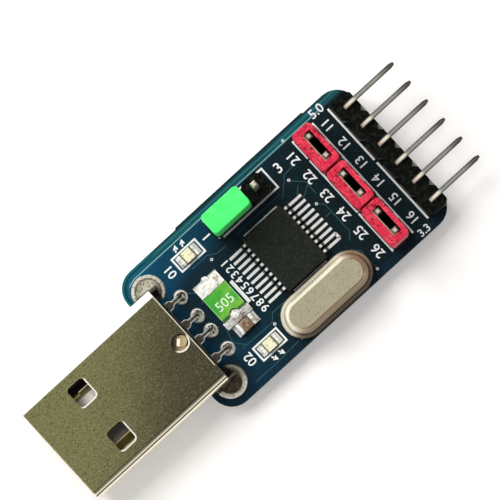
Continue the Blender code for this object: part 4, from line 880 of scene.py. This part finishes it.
def pad_maker():
    """Rounded oblong pads, one on each point of the base mesh."""
    maker = Maker("pad_on_each_point")
    source = maker.value("Base", None, "NodeSocketGeometry")
    length = maker.value("Length", 1.0 * MM)
    width = maker.value("Width", 0.4 * MM)
    corner = maker.value("Corner", 0.1 * MM)
    rise = maker.value("Rise", PAD_RISE * MM)
    oblong = maker.node("GeometryNodeCurvePrimitiveQuadrilateral", {"mode": "RECTANGLE"},
                        {"Width": length, "Height": width})
    rounded = maker.node("GeometryNodeFilletCurve", {"mode": "POLY"},
                         {"Curve": oblong, "Radius": corner, "Count": 4})
    return maker.close(maker.plates(rounded, rise, source))


def trace_maker():
    """A low flat-topped track along each curve of the base."""
    maker = Maker("track_along_each_edge")
    source = maker.value("Base", None, "NodeSocketGeometry")
    width = maker.value("Width", 0.2 * MM)
    rise = maker.value("Rise", TRACK_RISE * MM)
    path = maker.node("GeometryNodeMeshToCurve", None, {"Mesh": source})
    section = maker.node("GeometryNodeCurvePrimitiveQuadrilateral", {"mode": "RECTANGLE"},
                         {"Width": width, "Height": rise})
    return maker.close(maker.node("GeometryNodeCurveToMesh", None,
                                  {"Curve": path, "Profile Curve": section, "Fill Caps": True}))


def paths_mesh(paths, z=0.0):
    """A mesh of the paths' points with an edge between one point and the next."""
    verts, edges = [], []
    for path in paths:
        first = len(verts)
        verts += [at(x, y, z) for x, y in path]
        edges += [(first + index, first + index + 1) for index in range(len(path) - 1)]
    mesh = bpy.data.meshes.new("paths")
    mesh.from_pydata(verts, edges, [])
    return mesh


def points_mesh(places, z=0.0):
    """A mesh of single points."""
    return paths_mesh([[place] for place in places], z)


def merge(meshes):
    """One mesh from several, with doubled corners welded."""
    bm = bmesh.new()
    for mesh in meshes:
        bm.from_mesh(mesh)
    bmesh.ops.remove_doubles(bm, verts=bm.verts, dist=1e-7)
    return to_mesh(bm)


# Settings


def color_setting(name, description, default):
    """A colour property in linear light."""
    return FloatVectorProperty(
        name=name, description=description, subtype="COLOR", default=default, min=0.0, max=1.0)


class BoardSettings(bpy.types.PropertyGroup):
    """Board colours and printing sizes."""

    mask_color: color_setting("Mask", "Solder mask at the plug's end", (0.005, 0.055, 0.112))
    mask_shade: color_setting("Mask shade", "Solder mask at the pins' end", (0.005, 0.013, 0.016))
    mask_rim: color_setting("Rim", "Mask near the board's sides", (0.014, 0.115, 0.13))
    print_color: color_setting("Print", "White board printing", (0.86, 0.88, 0.88))
    line_width: FloatProperty(
        name="Line", description="Width of the printed lines, in millimetres",
        default=0.22, min=0.08, max=0.5)
    print_rise: FloatProperty(
        name="Rise", description="Height of the printing above the mask, in millimetres",
        default=0.018, min=0.005, max=0.025)


class MetalSettings(bpy.types.PropertyGroup):
    """Metal colours."""

    # Lit and shaded copies of one plating: painted light near the mouth, painted shade near the board
    plug_color: color_setting("Plug", "Plating on the shell near the mouth", (0.4, 0.385, 0.17))
    plug_shade: color_setting("Plug shade", "Plating on the shell near the board", (0.14, 0.125, 0.075))


class PlasticSettings(bpy.types.PropertyGroup):
    """Plastic colours."""

    red: color_setting("Red caps", "Open jumper caps", (0.74, 0.025, 0.07))
    green: color_setting("Green cap", "Closed jumper cap", (0.08, 0.92, 0.19))
    lens_color: color_setting("Lens", "Lamp lens", (0.85, 0.8, 0.45))


class StudioSettings(bpy.types.PropertyGroup):
    """Camera and lamps."""

    camera_place: FloatVectorProperty(
        name="Camera", description="Where the camera stands", subtype="TRANSLATION", unit="LENGTH",
        default=(-0.000196, -0.02912, 0.56502))
    camera_turn: FloatVectorProperty(
        name="Camera turn", description="Which way the camera is turned", subtype="EULER", unit="ROTATION",
        default=(math.radians(2.5218), math.radians(1.9575), math.radians(-42.4815)))
    lens: FloatProperty(
        name="Lens", description="Focal length on a 36 mm wide sensor", default=401.54, min=20.0, max=900.0)
    key_power: FloatProperty(
        name="Key lamp", description="Power of the main lamp", subtype="POWER", unit="POWER",
        default=0.8, min=0.0, max=10.0)
    fill: FloatProperty(
        name="Surround", description="Strength of the light from all round", default=0.3, min=0.0, max=2.0)


# Operators


class ADAPTER_OT_board(bpy.types.Operator):
    """Finish the board: mask, printed outlines, plain numbers, pads and tracks"""

    bl_idname = "adapter.board"
    bl_label = "Board"

    def execute(self, context):
        props = context.scene.adapter_board
        paint(solder_mask(props), "circuit_board")
        self.add_printing(props)
        self.add_numbers(props)
        self.add_pads()
        self.add_tracks()
        return {"FINISHED"}

    def add_printing(self, props):
        """Printed lines, each a path and its share of the line width, and boxes round the lamps."""
        jumper = middle("jumper_header_block")
        edge_low, edge_high = reach("edge_header_block")
        mode_low, mode_high = reach("mode_header_block")
        chip_low, chip_high = reach("interface_chip")

        # Beside the jumper row: a whole line towards the bent pins, a broken one towards the chip
        far, near = jumper.x + 1.36, jumper.x - 1.36
        top, bottom = 7.4, -7.65
        lines = [([(far, top), (far, bottom)], 1.0)]
        for first, last in ((top, 5.05), (4.8, -2.35), (-2.5, bottom)):
            lines.append(([(near, first), (near, last)], 1.0))

        # Both sides of the edge header: the outer line shows only between its cells
        inner, outer = edge_low.x - 0.2, edge_high.x - 0.13
        for first, last in ((7.4, 0.4), (0.05, -7.6)):
            lines.append(([(inner, first), (inner, last)], 1.0))
        lines.append(([(outer, 7.2), (outer, -7.6)], 1.636))

        # Round the mode header: its upper line shows only between its cells
        right, under, over = mode_high.x + 0.46, mode_low.y - 0.09, mode_high.y - 0.06
        start, stop = mode_low.x + 0.1, mode_low.x + 0.62
        lines.append(([(start, over), (right, over), (right, under), (stop, under)], 0.9))

        # Chip: a line at each end, and the bar beside its row of leads
        for end in (chip_high.y + 0.14, chip_low.y - 0.14):
            lines.append(([(chip_low.x + 1.68, end), (chip_high.x - 1.62, end)], 0.7))
        bar = chip_low.x - 2.35
        lines.append(([(bar, 1.2), (bar, -1.65)], 1.7))

        bm = bmesh.new()
        low, high = 0.0, props.print_rise
        for path, share in lines:
            add_strip(bm, path, props.line_width * share, low, high)

        # Boxes round the lamps, each with its two arrow marks
        half_x, half_y = 1.56, 0.81
        for lamp, side in (("lamp_upper_body", 1), ("lamp_lower_body", -1)):
            spot = middle(lamp)
            box = [(spot.x + way_x * half_x, spot.y + way_y * half_y)
                   for way_x, way_y in ((-1, -1), (1, -1), (1, 1), (-1, 1))]
            add_strip(bm, box, props.line_width * 0.9, low, high, closed=True)
            for shift in (-0.75, 0.15):
                x, y = spot.x + shift, spot.y + side * 1.05
                add_strip(bm, [(x, y), (x + 0.2, y + side * 0.3)], props.line_width * 0.8, low, high)
                tip = [(x - 0.1, y + side * 0.35), (x + 0.45, y + side * 0.1), (x + 0.42, y + side * 0.68)]
                add_plate(bm, tip, low, high)
        new_piece("printed_lines", to_mesh(bm), board_print(props))

    def add_numbers(self, props):
        """Plain numbers where a board has its printed names."""
        chip = middle("interface_chip")
        by_edge_header, by_jumper_header, by_chip = 11.63, 6.78, -5.46
        marks = []
        for index in range(6):
            y = (2.5 - index) * CELL - 0.15
            marks.append((str(11 + index), by_edge_header, y, 0.95, 90))
            marks.append((str(21 + index), by_jumper_header, y - 0.1, 1.0, 90))
        for index in range(9):
            marks.append((str(1 + index), by_chip, chip.y + (4 - index) * 0.76, 0.85, 90))
        marks += [("01", -10.1, 6.0, 0.95, 90), ("02", -10.1, -5.95, 0.95, 90), ("1", -4.98, 6.15, 0.95, 90),
                  ("3", 5.0, 6.35, 1.1, 0), ("5.0", 11.7, 8.0, 0.95, 0), ("3.3", 11.6, -8.25, 0.8, 0)]
        bm = bmesh.new()
        for words, x, y, size, turn in marks:
            add_text(bm, words, x, y, size, turn, 0.0, props.print_rise)
        new_piece("printed_numbers", to_mesh(bm), board_print(props))

    def add_pads(self):
        """Rings round the plated holes on the solder side, chip pads and free vias on top."""
        tin = tinned_pad()
        rings, pads = ring_maker(), pad_maker()
        chip = middle("interface_chip")
        tails = []
        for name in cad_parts:
            if name.rsplit("_", 1)[0] in ("edge_pin", "jumper_pin", "mode_pin"):
                tails.append((reach(name)[0].x + SOLDER_CONE, middle(name).y))
        vias = [(4.95, 4.75), (5.4, 1.1), (-4.08, 5.23), (-10.6, 3.4), (-5.9, -5.0), (5.5, -7.9),
                (-4.8, -7.9), (7.2, 8.1), (-6.2, 4.1)]
        feet = [(chip.x + side * CHIP_FOOT, chip.y + (index - 4.5) * LEAD_PITCH)
                for side in (-1, 1) for index in range(10)]
        joined = [(chip.x + 4.8, chip.y - 4 * LEAD_PITCH)]
        made = [rings.run(points_mesh(tails, -BOARD_THICKNESS - PAD_RISE), tin, Outer=1.0, Inner=0.55),
                rings.run(points_mesh(vias), tin, Outer=0.16, Inner=0.07),
                pads.run(points_mesh(feet), tin, Length=1.53, Width=0.3, Corner=0.06),
                pads.run(points_mesh(joined), tin, Length=0.3, Width=LEAD_PITCH, Corner=0.1)]
        new_piece("plated_pads", merge(made), tin)

    def add_tracks(self):
        """Mask-covered copper that shows as faint raised lines."""
        tracks = trace_maker()
        far, left = BOARD_WIDTH / 2 - 0.88, -BOARD_LENGTH / 2
        edge_line = [[(left + 0.6, 4.9), (left + 0.56, 6.3), (left + 0.68, 6.9), (left + 1.0, 7.4),
                      (left + 1.5, 7.75), (left + 2.2, far), (12.0, far)]]
        inner = [[(-8.3, 4.71), (-6.3, 4.73), (-5.4, 4.2), (-4.2, 4.15)],
                 [(-9.6, -1.2), (-10.3, -3.6), (-9.4, -4.6)],
                 [(-10.0, -4.65), (-6.0, -4.75), (-5.3, -4.0), (-3.6, -4.05)],
                 [(6.22, 5.52), (4.97, 5.45), (4.41, 4.88), (3.2, 3.75)],
                 [(5.33, 3.77), (4.3, 2.8)],
                 [(4.9, 4.7), (6.1, 3.5), (6.1, 1.9)],
                 [(5.4, 1.1), (6.0, 0.5), (6.0, -3.2), (5.4, -3.9)],
                 [(4.8, 2.4), (6.2, 3.2)],
                 [(-2.7, 4.3), (3.2, 4.3)],
                 [(5.2, -0.5), (6.1, -0.5)],
                 [(4.7, -4.6), (5.5, -5.4), (5.5, -7.9)],
                 [(-10.3, 3.2), (-9.2, 2.2), (-9.95, 1.4)],
                 [(-5.2, -7.9), (-8.6, -8.05), (-11.2, -8.05)]]
        mask = trace_mask()
        made = [tracks.run(paths_mesh(edge_line), mask, Width=0.12, Rise=EDGE_TRACK_RISE),
                tracks.run(paths_mesh(inner), mask, Width=0.09, Rise=TRACK_RISE)]
        new_piece("mask_tracks", merge(made), mask)


class ADAPTER_OT_plug(bpy.types.Operator):
    """Finish the plug: plated shell, insulator, contacts and the solder of its tabs"""

    bl_idname = "adapter.plug"
    bl_label = "Plug"

    def execute(self, context):
        props = context.scene.adapter_metal
        paint(plug_plate(props), "plug_shell")
        paint(insulator_plastic(), "plug_insulator")
        paint(contact_metal(), *series("plug_contact", 4))
        for name, dark in (("shield_solder_upper", False), ("shield_solder_lower", True)):
            paint(tab_solder(name, middle(name), dark), name)
        return {"FINISHED"}


class ADAPTER_OT_headers(bpy.types.Operator):
    """Finish the pin headers and their square pins"""

    bl_idname = "adapter.headers"
    bl_label = "Pin headers"

    def execute(self, context):
        paint(header_plastic(), "edge_header_block", "jumper_header_block", "mode_header_block")
        paint(pin_metal("straight_pin_wire"), *series("jumper_pin", 6), *series("mode_pin", 3))
        paint(bent_pin_metal(), *series("edge_pin", 6))
        return {"FINISHED"}


class ADAPTER_OT_caps(bpy.types.Operator):
    """Finish the jumper caps and the spring clips inside them"""

    bl_idname = "adapter.caps"
    bl_label = "Jumper caps"

    def execute(self, context):
        props = context.scene.adapter_plastic
        red = cap_plastic("red_cap", props.red, (0.86, 0.07, 0.12), (0.3, 0.006, 0.02), 0.85)
        green = cap_plastic("green_cap", props.green, (0.12, 0.96, 0.25), (0.06, 0.84, 0.14), 0.0)
        paint(red, *series("red_jumper_cap", 3))
        paint(green, "green_jumper_cap")
        paint(clip_metal(), "green_jumper_clip", *series("red_jumper_clip", 3))
        return {"FINISHED"}


class ADAPTER_OT_chips(bpy.types.Operator):
    """Finish the interface chip, the crystal, the fuse, the capacitor and the lamps"""

    bl_idname = "adapter.chips"
    bl_label = "Small parts"

    def execute(self, context):
        props = context.scene.adapter_plastic
        paint(chip_finish(), "interface_chip")
        paint(drawn_can(), "crystal_can", "crystal_base")
        paint(pin_metal("crystal_lead_wire"), *series("crystal_lead", 2))
        paint(fuse_coat(), "fuse_body")
        paint(ceramic_finish(), "capacitor_body")
        paint(lens_finish(props), "lamp_upper_body", "lamp_lower_body")
        paint(set_solder("small_part_solder"), *[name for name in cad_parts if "_terminal_" in name])
        self.add_fuse_marks()
        self.add_fuse_solder()
        return {"FINISHED"}

    def add_fuse_solder(self):
        """Solder that ran over the fuse's terminals."""
        low, high = reach("fuse_body")
        centre = middle("fuse_body").x
        upper_top = reach("fuse_terminal_upper")[1].z + 0.13
        lower_top = reach("fuse_terminal_lower")[1].z + 0.06
        bm = bmesh.new()
        add_lump(bm, centre + 0.05, high.y - 0.64, 1.36, 0.66, high.z, upper_top, 0.6)
        add_lump(bm, centre + 0.1, low.y - 0.02, 1.25, 0.3, high.z - 0.3, lower_top, 2.4)
        mesh = to_mesh(bm)
        mesh.shade_smooth()
        new_piece("fuse_solder_lumps", mesh, set_solder("fuse_solder"))

    def add_fuse_marks(self):
        """A plain number printed on the fuse."""
        low, high = reach("fuse_body")
        bm = bmesh.new()
        add_text(bm, "505", (low.x + high.x) / 2, low.y + 1.42, 1.0, 0, high.z, high.z + 0.012, bold=0.0)
        new_piece("fuse_number", to_mesh(bm), fuse_print())


class ADAPTER_OT_studio(bpy.types.Operator):
    """Set the floor, the lamps, the surround and the camera"""

    bl_idname = "adapter.studio"
    bl_label = "Studio"

    def execute(self, context):
        props = context.scene.adapter_studio
        self.add_floor(context)
        self.add_lamps(context, props)
        self.add_surround(context, props)
        camera = bpy.data.objects.new("photo_camera", bpy.data.cameras.new("photo_camera"))
        camera.location = props.camera_place
        camera.rotation_euler = Euler(props.camera_turn, "XYZ")
        camera.data.lens = props.lens
        camera.data.sensor_width = SENSOR_WIDTH
        camera.data.clip_start = 0.01
        camera.data.clip_end = 20.0
        context.scene.collection.objects.link(camera)
        context.scene.camera = camera
        context.scene.view_settings.view_transform = "Standard"
        return {"FINISHED"}

    def add_floor(self, context):
        """Plain pale floor that keeps the module's shadow."""
        bm = bmesh.new()
        bmesh.ops.create_grid(bm, x_segments=1, y_segments=1, size=FLOOR_REACH)
        mesh = bpy.data.meshes.new("floor")
        bm.to_mesh(mesh)
        bm.free()
        material = bpy.data.materials.new("pale_floor")
        material.use_nodes = True
        graph = Graph(material.node_tree)
        shader = graph.tree.nodes["Principled BSDF"]
        shader.inputs["Roughness"].default_value = 0.9
        shader.inputs["Specular IOR Level"].default_value = 0.1
        paper = graph.node("ShaderNodeTexNoise", None, {"Scale": 60.0, "Detail": 3.0})
        graph.feed(shader.inputs["Base Color"], graph.tint(paper, (0.87, 0.85, 0.84), (0.9, 0.88, 0.87)))
        seen, glossy, through = graph.rays()
        shown = seen.larger(glossy).larger(through)
        graph.feed(shader.inputs["Emission Color"], graph.tint(shown, (0.0, 0.0, 0.0), (1.0, 0.975, 0.96)))
        shader.inputs["Emission Strength"].default_value = 0.25
        mesh.materials.append(material)
        floor = bpy.data.objects.new("floor", mesh)
        context.scene.collection.objects.link(floor)

    def add_lamps(self, context, props):
        """A soft main lamp and a weak one from the plug's side, both aimed at the board."""
        plan = (("key_lamp", (-0.02, 0.14, 0.26), props.key_power, (1.0, 0.985, 0.96)),
                ("side_lamp", (-0.24, -0.04, 0.16), props.key_power * 0.12, (1.0, 0.97, 0.92)))
        for name, place, power, color in plan:
            data = bpy.data.lights.new(name, "AREA")
            data.shape = "SQUARE"
            data.size = LAMP_SIZE
            data.energy = power
            data.color = color
            lamp = bpy.data.objects.new(name, data)
            lamp.location = place
            lamp.visible_glossy = False
            lamp.rotation_euler = (Vector(LAMP_TARGET) - lamp.location).to_track_quat("-Z", "Y").to_euler()
            context.scene.collection.objects.link(lamp)

    def add_surround(self, context, props):
        """Dim even light; reflections see a bright far side, a dark near side and a white horizon."""
        world = bpy.data.worlds.new("studio_surround")
        world.use_nodes = True
        context.scene.world = world
        graph = Graph(world.node_tree)
        across, far, height = graph.split(graph.node("ShaderNodeTexCoord", out="Generated"))
        level = 0.42 + graph.fade(far, 0.1, 0.38, 0.75)
        level = level - graph.fade(0.0 - far, 0.1, 0.35, 0.3) + graph.fade(0.0 - far, 0.42, 0.6, 0.75)
        level = level + graph.fade(0.0 - across, 0.3, 0.7, 0.35)
        level = level * graph.fade(height, 0.02, 0.16) + graph.fade(height, 0.16, 0.02)
        mirror = graph.node("ShaderNodeCombineXYZ", None, {0: level, 1: level, 2: level * 0.97})
        seen, glossy, through = graph.rays()
        back = graph.tree.nodes["Background"]
        color = graph.tint(glossy, (props.fill, props.fill, props.fill * 1.02), mirror)
        color = graph.tint(seen.larger(through), color, (1.0, 1.0, 1.0))
        graph.feed(back.inputs["Color"], color)
        back.inputs["Strength"].default_value = 1.0


class ADAPTER_PT_panel(bpy.types.Panel):
    """Lists the module's pieces and the studio"""

    bl_label = "Adapter module"
    bl_idname = "ADAPTER_PT_panel"
    bl_space_type = "VIEW_3D"
    bl_region_type = "UI"
    bl_category = "Adapter"

    def draw(self, context):
        scene = context.scene
        rows = ((scene.adapter_board, ("adapter.board",)),
                (scene.adapter_metal, ("adapter.plug", "adapter.headers")),
                (scene.adapter_plastic, ("adapter.caps", "adapter.chips")),
                (scene.adapter_studio, ("adapter.studio",)))
        for group, operators in rows:
            box = self.layout.box()
            for name in type(group).__annotations__:
                box.prop(group, name)
            for operator in operators:
                box.operator(operator)


SETTINGS = {"adapter_board": BoardSettings, "adapter_metal": MetalSettings,
            "adapter_plastic": PlasticSettings, "adapter_studio": StudioSettings}
CLASSES = (*SETTINGS.values(), ADAPTER_OT_board, ADAPTER_OT_plug, ADAPTER_OT_headers, ADAPTER_OT_caps,
           ADAPTER_OT_chips, ADAPTER_OT_studio, ADAPTER_PT_panel)


def register():
    for cls in CLASSES:
        bpy.utils.register_class(cls)
    for name, group in SETTINGS.items():
        setattr(bpy.types.Scene, name, PointerProperty(type=group))


def unregister():
    for name in SETTINGS:
        delattr(bpy.types.Scene, name)
    for cls in reversed(CLASSES):
        bpy.utils.unregister_class(cls)


def main():
    register()
    bpy.ops.adapter.board()
    bpy.ops.adapter.plug()
    bpy.ops.adapter.headers()
    bpy.ops.adapter.caps()
    bpy.ops.adapter.chips()
    bpy.ops.adapter.studio()


if __name__ == "__main__":
    main()
